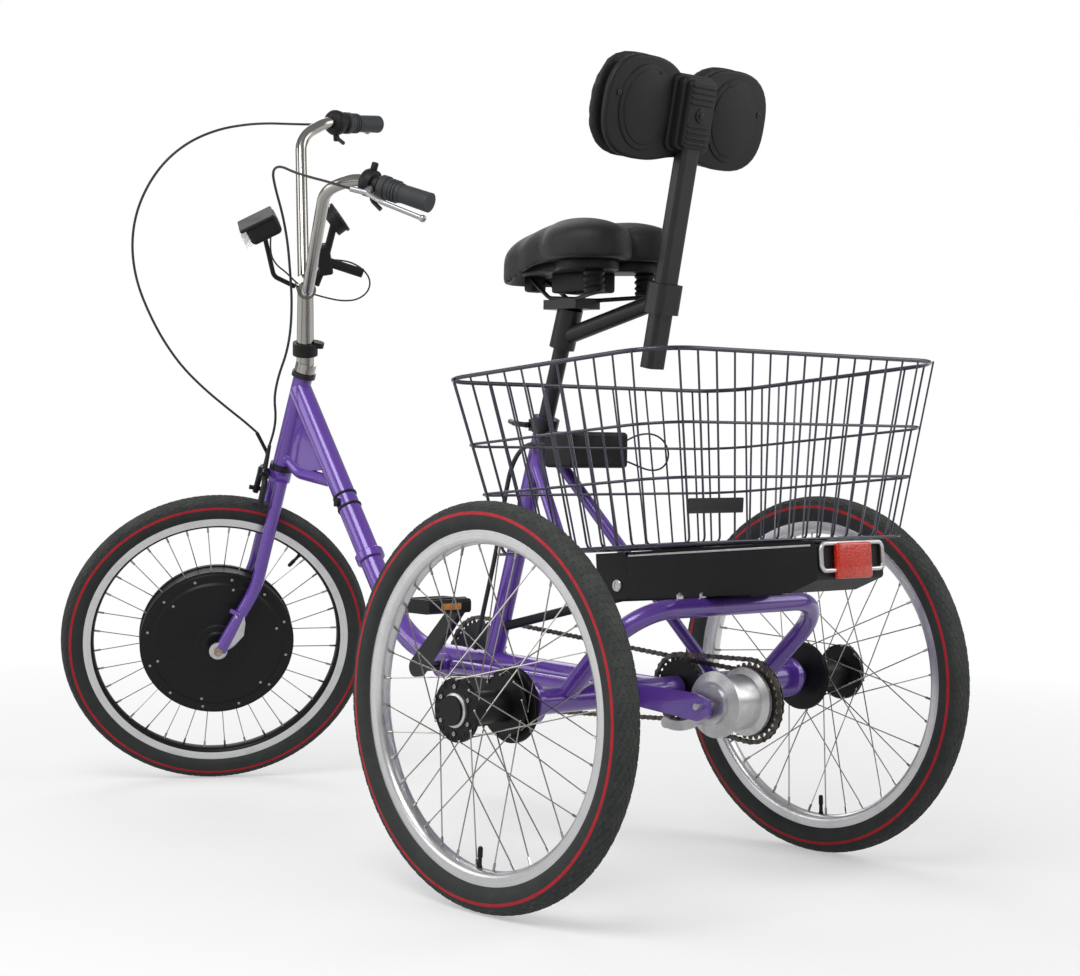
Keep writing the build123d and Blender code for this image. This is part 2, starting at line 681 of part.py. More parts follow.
def brake_levers():
    """Brake perches clamped on the bar, with their levers under the grips."""
    tip, before = bar_points()[:2]
    along = (before - tip).normalized()
    clamp = tip + along * (GRIP_L + 8)
    perch = rod(clamp - along * 7, clamp + along * 7, BAR_R + 5)
    middle = clamp + along * 14
    shifter = rod(middle - along * 8, middle + along * 8, BAR_R + 8)
    knuckle = middle - vec(0, 0, 32)
    thumb = bent_bar([middle - vec(0, 0, 14), knuckle, knuckle - along * 24 - vec(0, 6, 8)], 9, 4)
    ahead = -along.cross(vec(0, 0, 1)).normalized()
    ahead = ahead if ahead.Y < 0 else -ahead
    pivot = clamp + ahead * LEVER_REACH - vec(0, 0, 6)
    reach = [pivot, pivot - along * 38 + ahead * 16, pivot - along * 118 + ahead * 6 - vec(0, 0, 10)]
    ball = Pos(*reach[-1]) * Sphere(6.5).solid()
    pieces = [rod(clamp + ahead * 4, pivot, 8), bent_bar(reach, 30, 4.5), ball]
    pieces += [rod(pivot, pivot + along * 30 + ahead * 6, 5), shifter, thumb]
    bore = rod(clamp - along * 30, clamp + along * 30, BAR_R + SEAT_GAP)
    return both_sides(perch.fuse(*pieces).cut(bore))


LAMP = vec(0, STEM_Y + LAMP_BACK, STEM_Z + LAMP_UP)


def stem_clamp(grow):
    """The stem's clamp as a plain bar, larger by a clearance."""
    out = vec(CLAMP_HALF + 30, 0, 0)
    middle = vec(0, STEM_Y, STEM_Z)
    return rod(middle - out, middle + out, CLAMP_R + grow)


def headlight():
    """The lamp with its peaked top, and the strap that holds it to the stem's clamp."""
    at = Pos(*LAMP) * Rot(LAMP_TILT, 0, 0)
    shell = fillet((at * Box(LAMP_W, LAMP_L, LAMP_H)).edges(), 9)
    peak = fillet((at * Pos(0, -6, LAMP_H / 2 - 2) * Box(LAMP_W + 6, LAMP_L + 8, 7)).edges(), 3)
    start = vec(0, STEM_Y - CLAMP_R - SEAT_GAP - 1, STEM_Z + 4)
    low = vec(0, STEM_Y - 56, STEM_Z + 30)
    strap = bent_bar([start, low, LAMP - vec(0, 0, 12)], 18, 4.5)
    return shell.solid().fuse(peak.solid(), strap) - stem_clamp(SEAT_GAP)


def headlight_lens():
    """The clear front of the lamp."""
    thick = 12
    front = Pos(0, -LAMP_L / 2 - thick / 2 - SEAT_GAP, -2)
    lens = Pos(*LAMP) * Rot(LAMP_TILT, 0, 0) * front * Box(LAMP_W - 10, thick, LAMP_H - 8)
    return fillet(lens.edges().group_by(Axis.Y)[0], 4).solid()


def display():
    """The round display on its bracket behind the stem's clamp, a stub below it, and the lock on the stem."""
    face = vec(DIAL_X, STEM_Y + DIAL_BACK, STEM_Z + DIAL_UP)
    dial = rod(face + vec(0, -9, -5), face + vec(0, 9, 5), DIAL_R)
    hood = rod(face + vec(0, 7, 4), face + vec(0, 12, 6.5), DIAL_R + 3)
    start = vec(8, STEM_Y + CLAMP_R + SEAT_GAP + 1, STEM_Z + 3)
    knee = vec(8, STEM_Y + 40, STEM_Z + 40)
    arm = bent_bar([start, knee, face], 20, 7)
    box = fillet(block(8, STEM_Y + 42, STEM_Z + 50, 30, 26, 58).edges(), 5)
    stub = rod(knee + vec(0, 8, 4), knee + vec(0, 70, -28), 9)
    pieces = [dial.fuse(hood, arm, box.solid(), stub) - stem_clamp(SEAT_GAP)]
    foot = HEAD_TOP + UP_AXIS * (CUP_H + 7)
    quill = (vec(0, STEM_Y, STEM_Z) - foot).normalized()
    low, high = foot + quill * 28, foot + quill * 52
    lock = rod(low, high, STEM_R + 9).fuse(rod(low + vec(0, 24, 12), high + vec(0, 24, -2), 13))
    pieces.append(lock - rod(low - quill * 5, high + quill * 5, STEM_R + 2 + SEAT_GAP))
    return group(pieces)


def front_brake():
    """The brake's two arms at the fork's crown, over the tyre, and the two tubes its cables run into."""
    down = HEAD_LEN + CUP_H + 1 + CROWN_DROP / 2
    at = along_steerer(down, CUP_R + BRAKE_AHEAD)
    pieces = []
    for side in (1, -1):
        shoulder = at + vec(side * 44, 0, 0) - UP_AXIS * 8
        shoe = at + vec(side * 50, 0, 0) - UP_AXIS * 62
        pieces.append(bent_bar([at + vec(side * 2, 0, 0), shoulder, shoe], 16, 6))
        pieces.append(rod(shoe + UP_AXIS * 8 + AHEAD * 14, shoe + UP_AXIS * 8 - AHEAD * 16, 4.5))
    right = at - vec(9, 0, 0)
    pieces.append(bent_bar([right, right + UP_AXIS * 34, right + UP_AXIS * 72 + AHEAD * 30], 16, 3.6))
    left = at + vec(16, 0, 0)
    pieces.append(rod(left, left + UP_AXIS * 60 + AHEAD * 4, 3.6))
    bolt = rod(at + AHEAD * 12, at - AHEAD * (BRAKE_AHEAD - SEAT_GAP), 8)
    bracket = rod(at - vec(22, 0, 0), at + vec(22, 0, 0), 8)
    return bolt.fuse(bracket, *pieces)


# ------------------------------------------------------------------ drive
def crank_dir(turn):
    """The unit vector of a crank, turned up from the line to the rear."""
    return vec(0, math.cos(math.radians(turn)), math.sin(math.radians(turn)))


def crankset():
    """Spindle, both cranks and the chainring."""
    centre = vec(0, BB_Y, BB_Z)
    spindle = rod(centre - vec(CRANK_X, 0, 0), centre + vec(CRANK_X, 0, 0), SPINDLE_R)
    pieces = [sprocket(CHAIN_X, CHAINRING_R - SEAT_GAP, BB_Y, BB_Z)]
    pieces.append(rod(centre + vec(CHAIN_X, 0, 0), centre - vec(CRANK_X, 0, 0), 22))
    for side in (1, -1):
        out = vec(side * CRANK_X, 0, 0)
        way = crank_dir(CRANK_TURN) * side
        arm_plane = Plane(origin=centre + out - vec(CRANK_T / 2, 0, 0), x_dir=way, z_dir=(1, 0, 0))
        arm = make_hull([*Circle(17).edges(), *(Pos(CRANK_L, 0) * Circle(12)).edges()])
        pieces.append(extrude(arm_plane * arm, CRANK_T).solid())
    return spindle.fuse(*pieces)


def pedal(side):
    """A flat pedal on its axle, held level."""
    way = crank_dir(CRANK_TURN) * (side * CRANK_L)
    inner = CRANK_X + CRANK_T / 2 + 5
    axle = vec(0, BB_Y, BB_Z) + way
    body = Pos(side * (inner + PEDAL_L / 2), axle.Y, axle.Z) * Box(PEDAL_L, PEDAL_W, PEDAL_H)
    body = fillet(body.edges().filter_by(Axis.X), 7).solid()
    for row in (1, -1):
        well = block(side * (inner + PEDAL_L / 2), axle.Y + row * PEDAL_W * 0.25, axle.Z, *PEDAL_WELL)
        body = body - well.solid()
    crank_face = CRANK_X + CRANK_T / 2 + SEAT_GAP
    stub = rod(axle + vec(side * crank_face, 0, 0), axle + vec(side * (inner + 5), 0, 0), 7)
    return body.fuse(stub)


def chain_loop(x, front, front_r, back, back_r):
    """A chain around two sprockets, as one closed band; front and back are (y, z) centres."""
    plane = Plane(origin=(x - CHAIN_T / 2, 0, 0), x_dir=(0, 1, 0), z_dir=(1, 0, 0))
    a, b = Vector(*front), Vector(*back)
    way = (b - a).normalized()
    lean = (front_r - back_r) / (b - a).length
    up = Vector(-way.Y, way.X) * math.sqrt(1 - lean**2)

    def band(extra):
        ra, rb = front_r + extra, back_r + extra
        corners = [a + (way * lean + up) * ra, b + (way * lean + up) * rb]
        corners += [b + (way * lean - up) * rb, a + (way * lean - up) * ra]
        return make_face(Polyline(*corners, close=True)) + Pos(*a) * Circle(ra) + Pos(*b) * Circle(rb)

    return extrude(plane * (band(CHAIN_H) - band(0)), CHAIN_T).solid()


def chains():
    """The pedal chain to the gear hub, and the short chain from it to the axle."""
    hub = (GEAR_HUB_Y, GEAR_HUB_Z)
    pedal_chain = chain_loop(CHAIN_X, (BB_Y, BB_Z), CHAINRING_R, hub, HUB_COG_R)
    return group([pedal_chain, chain_loop(SPROCKET_X, (0, AXLE_Z), AXLE_COG_R, hub, DRIVE_RING_R)])


def gear_hub():
    """The internally geared hub behind the axle: shell, flanges and axle."""
    start = GEAR_HUB_MID - GEAR_HUB_L / 2
    outline = [
        (0, 0),
        (0, 42),
        (6, GEAR_HUB_R),
        (12, GEAR_HUB_R),
        (18, 43),
        (GEAR_HUB_L - 20, 43),
        (GEAR_HUB_L - 14, GEAR_HUB_R - 2),
        (GEAR_HUB_L - 8, GEAR_HUB_R - 2),
        (GEAR_HUB_L, 36),
        (GEAR_HUB_L, 0),
    ]
    shell = lathe(outline, start)
    axle = rod((-DROPOUT_X - 16, 0, 0), (DROPOUT_X + 16, 0, 0), GEAR_AXLE_R)
    return Pos(0, GEAR_HUB_Y, GEAR_HUB_Z) * join(shell, axle, brake_arm(start + GEAR_HUB_L))


def brake_arm(face):
    """The crescent on the gear hub's left face that holds its brake still, reaching down and forward."""
    plane = Plane(origin=(face, 0, 0), x_dir=(0, 1, 0), z_dir=(1, 0, 0))
    reach = ThreePointArc((0, 0), (-34, -30), (-92, -36))
    arm = Circle(30) + trace(reach, 15) + Pos(-92, -36) * Circle(9)
    return extrude(plane * arm, BRAKE_ARM_T).solid()


def hub_cogs():
    """The gear hub's two sprockets: the ring that drives the axle, and the small one the pedals drive."""
    small = sprocket(CHAIN_X, HUB_COG_R - SEAT_GAP)
    ring = sprocket(SPROCKET_X, DRIVE_RING_R - SEAT_GAP)
    sleeve = rod((CHAIN_X - 3, 0, 0), (GEAR_HUB_MID - GEAR_HUB_L / 2 - SEAT_GAP, 0, 0), 17)
    bore = rod((-90, 0, 0), (90, 0, 0), GEAR_AXLE_R + SEAT_GAP)
    return Pos(0, GEAR_HUB_Y, GEAR_HUB_Z) * small.fuse(ring, sleeve).cut(bore)


# ------------------------------------------------------------------ seat
def seat_post():
    """The post in the seat tube."""
    return rod(seat_line(SEAT_TUBE_TOP_Z - 150), seat_line(POST_TOP_Z), POST_R)


def seat_collar():
    """The clamp around the top of the seat tube, with its quick release lever."""
    top = seat_line(SEAT_TUBE_TOP_Z)
    up = seat_up()
    ring = rod(top - up * 26, top - up * SEAT_GAP, SEAT_TUBE_R + 6)
    ring = ring - rod(top - up * 40, top + up * 10, SEAT_TUBE_R + SEAT_GAP)
    ear = top - up * 13 + vec(0, -SEAT_TUBE_R - 9, 0)
    bolt = rod(ear - vec(16, 0, 0), ear + vec(20, 0, 0), 5)
    lug = block(ear.X, ear.Y + 5, ear.Z, 20, 18, 20)
    lever = bent_bar([ear + vec(18, 0, 0), ear + vec(26, -20, 2), ear + vec(12, -48, 6)], 12, 4.5)
    tube = rod(top - up * 40, top + up * 10, SEAT_TUBE_R + SEAT_GAP)
    return ring.fuse(bolt, lug.solid(), lever).cut(tube)


def saddle_clamp():
    """The block on the post that carries the saddle base and the backrest's arm."""
    top = seat_line(POST_TOP_Z)
    up = seat_up()
    sleeve = rod(top - up * 56, top + up * 12, POST_R + 8)
    arm_start = top - up * 38
    foot, head = back_post_axis()
    along = (head - foot).normalized()
    grip_at = foot + along * ((ARM_TIP_Z - foot.Z) / along.Z)
    arm = rod(arm_start, grip_at, ARM_R)
    plane = Plane(origin=grip_at - along * 24, x_dir=(1, 0, 0), z_dir=along)
    grip_outline = RectangleRounded(2 * BACK_POST_A + 14, 2 * BACK_POST_B + 14, 11)
    sleeve_back = extrude(plane * grip_outline, 48).solid()
    pad = block(0, top.Y + 6, top.Z + CLAMP_TOP - 8, 56, 78, 16)
    hole = rod(top - up * 80, top + up * 0.3, POST_R + SEAT_GAP)
    return sleeve.fuse(arm, pad.solid(), sleeve_back).cut(hole, back_post_solid(SEAT_GAP))


def back_post_axis():
    foot = vec(0, BACK_POST_Y0, BACK_POST_Z0)
    head = vec(0, BACK_POST_Y1, BACK_POST_Z1)
    return foot, head


def back_post_solid(grow=0.0):
    """The flat-sided oval post of the backrest."""
    foot, head = back_post_axis()
    plane = Plane(origin=foot, x_dir=(1, 0, 0), z_dir=head - foot)
    section = plane * RectangleRounded(2 * (BACK_POST_A + grow), 2 * (BACK_POST_B + grow), 8)
    return extrude(section, (head - foot).length).solid()


def saddle_base():
    """The moulded base under the saddle."""
    top = SADDLE_LOW - SEAT_GAP
    low = POST_TOP_Z + CLAMP_TOP + SEAT_GAP
    plate = extrude(Plane(origin=(0, SADDLE_Y, top - 22)) * saddle_outline(28), 22).solid()
    post = seat_line(POST_TOP_Z)
    lump_at = Plane(origin=(0, post.Y + 20, low))
    lump = extrude(lump_at * RectangleRounded(96, 120, 20), top - 10 - low).solid()
    return plate.fuse(lump)


def saddle_outline(shrink=0.0):
    """A rounded nose and two cheeks, as one smooth outline, drawn in by shrink."""
    nose, cheek = SADDLE_NOSE_R, SADDLE_CHEEK_R
    rounds = [Pos(0, nose - SADDLE_L / 2) * Circle(nose - shrink)]
    for side in (1, -1):
        rounds.append(Pos(side * (SADDLE_W / 2 - cheek), SADDLE_L / 2 - cheek) * Circle(cheek - shrink))
    return make_hull([edge for each in rounds for edge in each.edges()])


def saddle():
    """The wide cushion: a rounded nose, two cheeks at the back, and a channel down its middle."""
    cushion = extrude(Plane(origin=(0, SADDLE_Y, SADDLE_LOW)) * saddle_outline(), SADDLE_TOP - SADDLE_LOW)
    body = fillet(cushion.edges().group_by(Axis.Z)[-1], 34)
    body = fillet(body.edges().group_by(Axis.Z)[0], 20).solid()
    channel_r = 90
    over = SADDLE_TOP + channel_r - SADDLE_CHANNEL
    rear = SADDLE_Y + SADDLE_L / 2
    channel_end = vec(0, rear - SADDLE_L * 0.6, over + SADDLE_CHANNEL)
    channel = cone((0, rear + 1, over - 6), channel_end, channel_r, channel_r - 4)
    notch = rod((0, rear + 18, SADDLE_LOW - 1), (0, rear + 18, SADDLE_TOP + 1), 40)
    return body.cut(channel, notch)


def backrest():
    """The two-lobed shell with its raised panels and ribbed spine around the post, and the pad on it."""
    foot, head = back_post_axis()
    along = (head - foot).normalized()
    middle = foot + along * ((PAD_Z - foot.Z) / along.Z)
    plane = Plane(origin=middle, x_dir=(1, 0, 0), z_dir=vec(0, -along.Z, along.Y))
    lobe = PAD_H / 2
    reach = PAD_W / 2 - lobe * 0.92

    def slab(front, thick, shrink):
        lobes = [Pos(side * reach, 0) * Ellipse(lobe * 0.92 - shrink, lobe - shrink) for side in (1, -1)]
        waist = Pos(0, -PAD_H * 0.04) * Rectangle(2 * reach, PAD_H * 0.66 - 2 * shrink)
        return extrude(plane.offset(front) * (waist + lobes), thick).solid()

    shell_front = BACK_POST_B + SEAT_GAP
    shell = slab(shell_front, SHELL_T, 2)
    for side in (1, -1):
        panel = Pos(side * (reach + 6), 0) * Ellipse(lobe * 0.6, lobe * 0.66)
        shell = shell + extrude(plane.offset(shell_front - 2.5) * panel, 3)
    spine_w = 2 * BACK_POST_A + 16
    rows = 5
    for row in range(rows):
        at = (row - (rows - 1) / 2) * PAD_H * 0.13
        rib = Pos(0, at) * Rectangle(spine_w + (6 if row % 2 else 0), PAD_H * 0.13)
        shell = shell + extrude(plane.offset(shell_front - SPINE_T) * rib, SPINE_T + 1)
    shell = shell.solid() - back_post_solid(SEAT_GAP)
    return shell, slab(shell_front + SHELL_T + SEAT_GAP, PAD_T, 0)


# ------------------------------------------------------------------ rack, battery and basket
def on_rack(shape):
    """Tilts a piece with the rack, about the point over the rear axle."""
    return Pos(0, 0, RACK_Z) * Rot(RACK_TILT, 0, 0) * shape


def battery():
    """The battery in its rail, cut away below at the back."""
    plane = Plane(origin=(-BATTERY_W / 2, 0, 0), x_dir=(0, 1, 0), z_dir=(1, 0, 0))
    outline = Polyline(
        (BATTERY_FRONT, -RACK_T - SEAT_GAP),
        (BATTERY_REAR, -RACK_T - SEAT_GAP),
        (BATTERY_REAR, -BATTERY_H + 18),
        (BATTERY_REAR - 54, -BATTERY_H),
        (BATTERY_FRONT, -BATTERY_H),
        close=True,
    )
    body = extrude(plane * make_face(outline), BATTERY_W)
    return on_rack(fillet(body.edges().filter_by(Axis.X), 6).solid())


def rack():
    """The plate over the battery, the lock housing at its front, the rail under it on the hoop, and the
    strut forward to the seat tube."""
    length = BATTERY_REAR - HOUSING_FRONT
    top = block(0, HOUSING_FRONT + length / 2, -RACK_T / 2, BATTERY_W - 6, length, RACK_T)
    depth = BATTERY_FRONT - SEAT_GAP - HOUSING_FRONT
    front = block(0, HOUSING_FRONT + depth / 2, -BATTERY_H / 2, BATTERY_W, depth, BATTERY_H)
    rail_z = -BATTERY_H - SEAT_GAP
    rail = block(0, HOUSING_FRONT + 145, rail_z - 1.7, 74, 290, 4)
    joint = block(0, HOUSING_FRONT + 25, rail_z + 4, 60, 40, 14)
    bars = [block(0, y, 1.2, 110, 22, 2.8) for y in (30, 240)]
    solids = [piece.solid() for piece in (top, front, rail, joint, *bars)]
    whole = on_rack(join(*solids))
    hoop = rod(hoop_point(HOOP_REACH, -150), hoop_point(HOOP_REACH, 150), HOOP_R + SEAT_GAP)
    foot = seat_line(STRUT_Z)
    strut = rod(foot, (0, HOUSING_FRONT + 20, RACK_Z - BATTERY_H + 2), 8)
    seat_tube = rod(seat_line(STRUT_Z - 60), seat_line(STRUT_Z + 60), SEAT_TUBE_R + SEAT_GAP)
    return whole.fuse(strut).cut(hoop, seat_tube)


def tail_reflector():
    """The reflector at the battery's rear end, inside a rounded metal loop."""
    rear = BATTERY_REAR + SEAT_GAP
    body = block(0, rear + REFLECTOR_T / 2, -30, REFLECTOR_W, REFLECTOR_T, REFLECTOR_H)
    plane = Plane(origin=(0, rear, -24), x_dir=(1, 0, 0), z_dir=(0, 1, 0))
    opening = RectangleRounded(GUARD_W - 2 * GUARD_T, GUARD_H - 2 * GUARD_T, 6)
    loop = RectangleRounded(GUARD_W, GUARD_H, 12) - opening
    return on_rack(body.solid().fuse(extrude(plane * loop, GUARD_T).solid()))


def basket_corners(depth):
    """Half width, front and rear of the basket at a depth below its rim."""
    return (
        BASKET_W / 2 - BASKET_SIDE_TAPER * depth,
        BASKET_FRONT + BASKET_FRONT_TAPER * depth,
        BASKET_REAR - BASKET_REAR_TAPER * depth,
    )


def basket_ring(depth, wire, z):
    """A closed ring of square wire around the basket."""
    half, front, rear = basket_corners(depth)
    mid, length = (front + rear) / 2, rear - front
    corner = BASKET_CORNER - 0.08 * depth
    outer = RectangleRounded(2 * half + wire, length + wire, corner + wire / 2)
    inner = RectangleRounded(2 * half - wire, length - wire, corner - wire / 2)
    plane = Plane(origin=(0, mid, z - wire / 2))
    return extrude(plane * (outer - inner), wire).solid()


def flat_wire(a, b, wire):
    """A straight six-sided wire from a to b."""
    a, b = Vector(a), Vector(b)
    return extrude(Plane(origin=a, z_dir=b - a) * RegularPolygon(wire / 2, 6), (b - a).length).solid()


def basket():
    """The wire basket: a rim, three rings, uprights, and floor wires both ways."""
    depth = BASKET_DEPTH
    floor = BASKET_LIFT
    rim_z = floor + depth
    rings = [basket_ring(0, RIM_WIRE, rim_z), basket_ring(depth, RING_WIRE, floor)]
    rings += [basket_ring(d, RING_WIRE, rim_z - d) for d in RING_DEPTHS]
    top_half, top_front, top_rear = basket_corners(0)
    low_half, low_front, low_rear = basket_corners(depth)
    wires = []
    across = int((BASKET_W - 2 * BASKET_CORNER * 0.5) // WIRE_PITCH)
    for i in range(across):
        t = (i + 0.5) / across * 2 - 1
        xt, xl = t * (top_half - BASKET_CORNER * 0.3), t * (low_half - BASKET_CORNER * 0.3)
        wires.append(flat_wire((xt, top_front, rim_z), (xl, low_front, floor), UPRIGHT_WIRE))
        wires.append(flat_wire((xt, top_rear, rim_z), (xl, low_rear, floor), UPRIGHT_WIRE))
        wires.append(flat_wire((xl, low_front, floor), (xl, low_rear, floor), UPRIGHT_WIRE))
    along = int((BASKET_REAR - BASKET_FRONT - 2 * BASKET_CORNER * 0.5) // WIRE_PITCH)
    for i in range(along):
        t = (i + 0.5) / along
        inset = BASKET_CORNER * 0.4
        yt = top_front + inset + t * (top_rear - top_front - 2 * inset)
        yl = low_front + inset + t * (low_rear - low_front - 2 * inset)
        for side in (1, -1):
            top, low = vec(side * top_half, yt, rim_z), vec(side * low_half, yl, floor)
            wires.append(flat_wire(top, low, UPRIGHT_WIRE))
    for y in (low_front + 70, (low_front + low_rear) / 2, low_rear - 70):
        wires.append(flat_wire((-low_half, y, floor), (low_half, y, floor), UPRIGHT_WIRE))
    cage = rings[0].fuse(*rings[1:], *wires)
    return on_rack(cage)


def controller():
    """The box between the seat tube and the basket, on a tab that clasps the tube."""
    box = block(CONTROLLER_X, CONTROLLER_Y, CONTROLLER_Z, CONTROLLER_W, CONTROLLER_L, CONTROLLER_H)
    box = fillet(box.edges(), 7).solid()
    at = seat_line(STAY_TOP_Z + 6)
    reach = CONTROLLER_Y - at.Y
    tab = block(0, at.Y + reach / 2, at.Z, 30, reach, 9).solid()
    return box.fuse(tab).cut(rod(seat_line(at.Z - 60), seat_line(at.Z + 60), SEAT_TUBE_R + SEAT_GAP))


# ------------------------------------------------------------------ cables
def cord(name, points, radius):
    """A cable along its route: straight runs joined by arcs as large as the runs allow."""
    points = [Vector(p) for p in points]
    bends = []
    for before, here, after in zip(points, points[1:], points[2:]):
        turn = (here - before).get_angle(after - here)
        run = min((here - before).length, (after - here).length)
        bends.append(0.45 * run / math.tan(math.radians(turn / 2)))
    path = FilletPolyline(*points, radius=bends)
    cable = sweep(Plane(origin=path @ 0, z_dir=path % 0) * Circle(radius), path=path).solid()
    share = cable.volume / (math.pi * radius**2 * path.length)
    print(name, "length", round(path.length), "radii", [round(b) for b in bends], "volume", round(share, 3))
    return cable


def steering_cables():
    """The cables that turn with the bar."""
    return group([
        cord("right brake cable", RIGHT_BRAKE_CABLE, CABLE_R),
        cord("left brake cable", LEFT_BRAKE_CABLE, CABLE_R),
        cord("lamp wire", LAMP_WIRE, WIRE_R),
        cord("dial wire", DIAL_WIRE, WIRE_R),
    ])


def frame_cables():
    """The controller's loop, and the loom down the seat tube."""
    return group([
        cord("controller loop", CONTROLLER_LOOP, WIRE_R),
        cord("seat tube loom", SEAT_TUBE_LOOM, LOOM_R),
    ])


# ------------------------------------------------------------------ the whole tricycle
def build():
    """Every node of the tricycle by name, with the rear axle over Y = 0."""
    nodes = build_wheels()
    turning = {
        "fork": fork(),
        "stem": stem(),
        "handlebar": handlebar(),
        "grips": grips(),
        "brake_levers": brake_levers(),
        "headlight": headlight(),
        "headlight_lens": headlight_lens(),
        "display": display(),
        "front_brake": front_brake(),
        "steering_cables": steering_cables(),
    }
    nodes.update({name: parked(shape) for name, shape in turning.items()})
    nodes["main_frame"] = main_frame()
    nodes["rear_hoop"] = rear_hoop()
    nodes["headset"] = headset()
    nodes["crankset"] = crankset()
    nodes["left_pedal"] = pedal(1)
    nodes["right_pedal"] = pedal(-1)
    nodes["gear_hub"] = gear_hub()
    nodes["hub_cogs"] = hub_cogs()
    nodes["chains"] = chains()
    nodes["seat_post"] = seat_post()
    nodes["seat_collar"] = seat_collar()
    nodes["saddle_clamp"] = saddle_clamp()
    nodes["saddle_base"] = saddle_base()
    nodes["saddle"] = saddle()
    nodes["backrest_post"] = back_post_solid()
    nodes["backrest_shell"], nodes["backrest_pad"] = backrest()
    nodes["battery"] = battery()
    nodes["rack"] = rack()
    nodes["tail_reflector"] = tail_reflector()
    nodes["wire_basket"] = basket()
    nodes["controller"] = controller()
    nodes["frame_cables"] = frame_cables()
    return nodes


def write(nodes):
    """Centres the whole along Y and writes each node."""
    boxes = [shape.bounding_box() for shape in nodes.values()]
    shift = -(min(b.min.Y for b in boxes) + max(b.max.Y for b in boxes)) / 2
    for node, shape in nodes.items():
        export_step(Pos(0, shift, 0) * shape, f"parts/{node}.step")
    print("moved along Y by", round(shift, 3), "nodes", len(nodes))


write(build())
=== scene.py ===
"""Electric tricycle: the looks of its pieces, made around the packed frame."""

import json
import math

import bmesh
import bpy
from bpy.props import FloatProperty, FloatVectorProperty, IntProperty, PointerProperty
from mathutils import Matrix, Vector


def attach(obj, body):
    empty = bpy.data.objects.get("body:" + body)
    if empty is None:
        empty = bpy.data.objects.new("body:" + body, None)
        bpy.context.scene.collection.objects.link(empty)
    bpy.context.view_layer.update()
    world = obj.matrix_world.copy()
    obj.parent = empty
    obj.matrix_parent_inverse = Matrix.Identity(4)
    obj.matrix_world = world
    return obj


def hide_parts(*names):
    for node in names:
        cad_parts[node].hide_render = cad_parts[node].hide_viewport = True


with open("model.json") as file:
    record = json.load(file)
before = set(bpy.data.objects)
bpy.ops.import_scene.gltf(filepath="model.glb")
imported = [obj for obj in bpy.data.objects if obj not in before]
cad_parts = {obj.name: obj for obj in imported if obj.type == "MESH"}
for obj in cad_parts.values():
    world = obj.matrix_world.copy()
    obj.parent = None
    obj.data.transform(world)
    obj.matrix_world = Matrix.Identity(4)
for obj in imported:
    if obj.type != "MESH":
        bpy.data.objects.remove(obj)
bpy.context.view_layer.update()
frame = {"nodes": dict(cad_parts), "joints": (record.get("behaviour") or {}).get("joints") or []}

bl_info = {
    "name": "Electric tricycle",
    "version": (1, 0, 0),
    "blender": (4, 5, 0),
    "location": "View3D > Sidebar > Tricycle",
    "description": "Tyres, saddle, basket, chains, cables and finishes of an electric tricycle",
    "category": "Add Mesh",
}

# ---------------------------------------------------------------- places from the frame
JOINTS = {joint["name"]: joint for joint in frame["joints"]}
STEER_POINT = Vector(JOINTS["steering"]["pos_m"])
STEER_AXIS = Vector(JOINTS["steering"]["axis"])
PARKED_TURN = math.radians(61.3)
PARKED = (
    Matrix.Translation(STEER_POINT)
    @ Matrix.Rotation(PARKED_TURN, 4, STEER_AXIS)
    @ Matrix.Translation(-STEER_POINT)
)
REAR_AXLE = Vector(JOINTS["left_wheel_spin"]["pos_m"])
REAR_Y = REAR_AXLE.y
TILT = math.radians(5.2)  # of the rack, the battery and the basket
SIDE = Matrix(((0, 0, 1, 0), (1, 0, 0, 0), (0, 1, 0, 0), (0, 0, 0, 1)))  # stands an outline across X
WHEELS = {
    "left": Matrix.Translation(REAR_AXLE),
    "right": Matrix.Translation(Vector(JOINTS["right_wheel_spin"]["pos_m"])),
    "front": Matrix.Translation(Vector(JOINTS["front_wheel_spin"]["pos_m"]))
    @ Matrix.Rotation(PARKED_TURN, 4, STEER_AXIS),
}


# The left side of the bar in millimetres, steered straight. The right side is its mirror image.
LEVER_CLAMP = (292.2, -819.8)
LEVER_AHEAD = (0.7443, -0.6678)
SHIFTER = (283.1, -829.9, 1233.4)
BAR_WAY = (-64.66, -72.07, 24.92)


def place(x, y, z):
    """A point given in millimetres from under the rear axle, in metres in the frame."""
    return Vector((x / 1000, REAR_Y + y / 1000, z / 1000))


def turned_place(x, y, z):
    """A point of the front end, given as steered straight, where it is parked."""
    return PARKED @ place(x, y, z)


# ---------------------------------------------------------------- sizes and colours a user may change
def length(name, text, value):
    return FloatProperty(name=name, description=text, default=value, unit="LENGTH")


def colour(name, text, value):
    return FloatVectorProperty(
        name=name, description=text, default=value, size=3, subtype="COLOR", min=0, max=1
    )


class WheelSettings(bpy.types.PropertyGroup):
    tread_depth: length("Tread depth", "How far the tread blocks stand out", 0.0012)
    tread_rows: IntProperty(name="Tread steps", description="Tread blocks around a tyre", default=156)
    stripe: colour("Stripe", "The thin line on the tyre's side", (0.50, 0.016, 0.028))
    rubber: colour("Rubber", "Tyre rubber", (0.030, 0.034, 0.033))


class BodySettings(bpy.types.PropertyGroup):
    paint: colour("Paint", "The frame's paint", (0.135, 0.040, 0.42))
    trim: colour("Trim", "Black painted steel", (0.012, 0.012, 0.017))
    link_pitch: length("Chain pitch", "From one chain pin to the next", 0.0127)


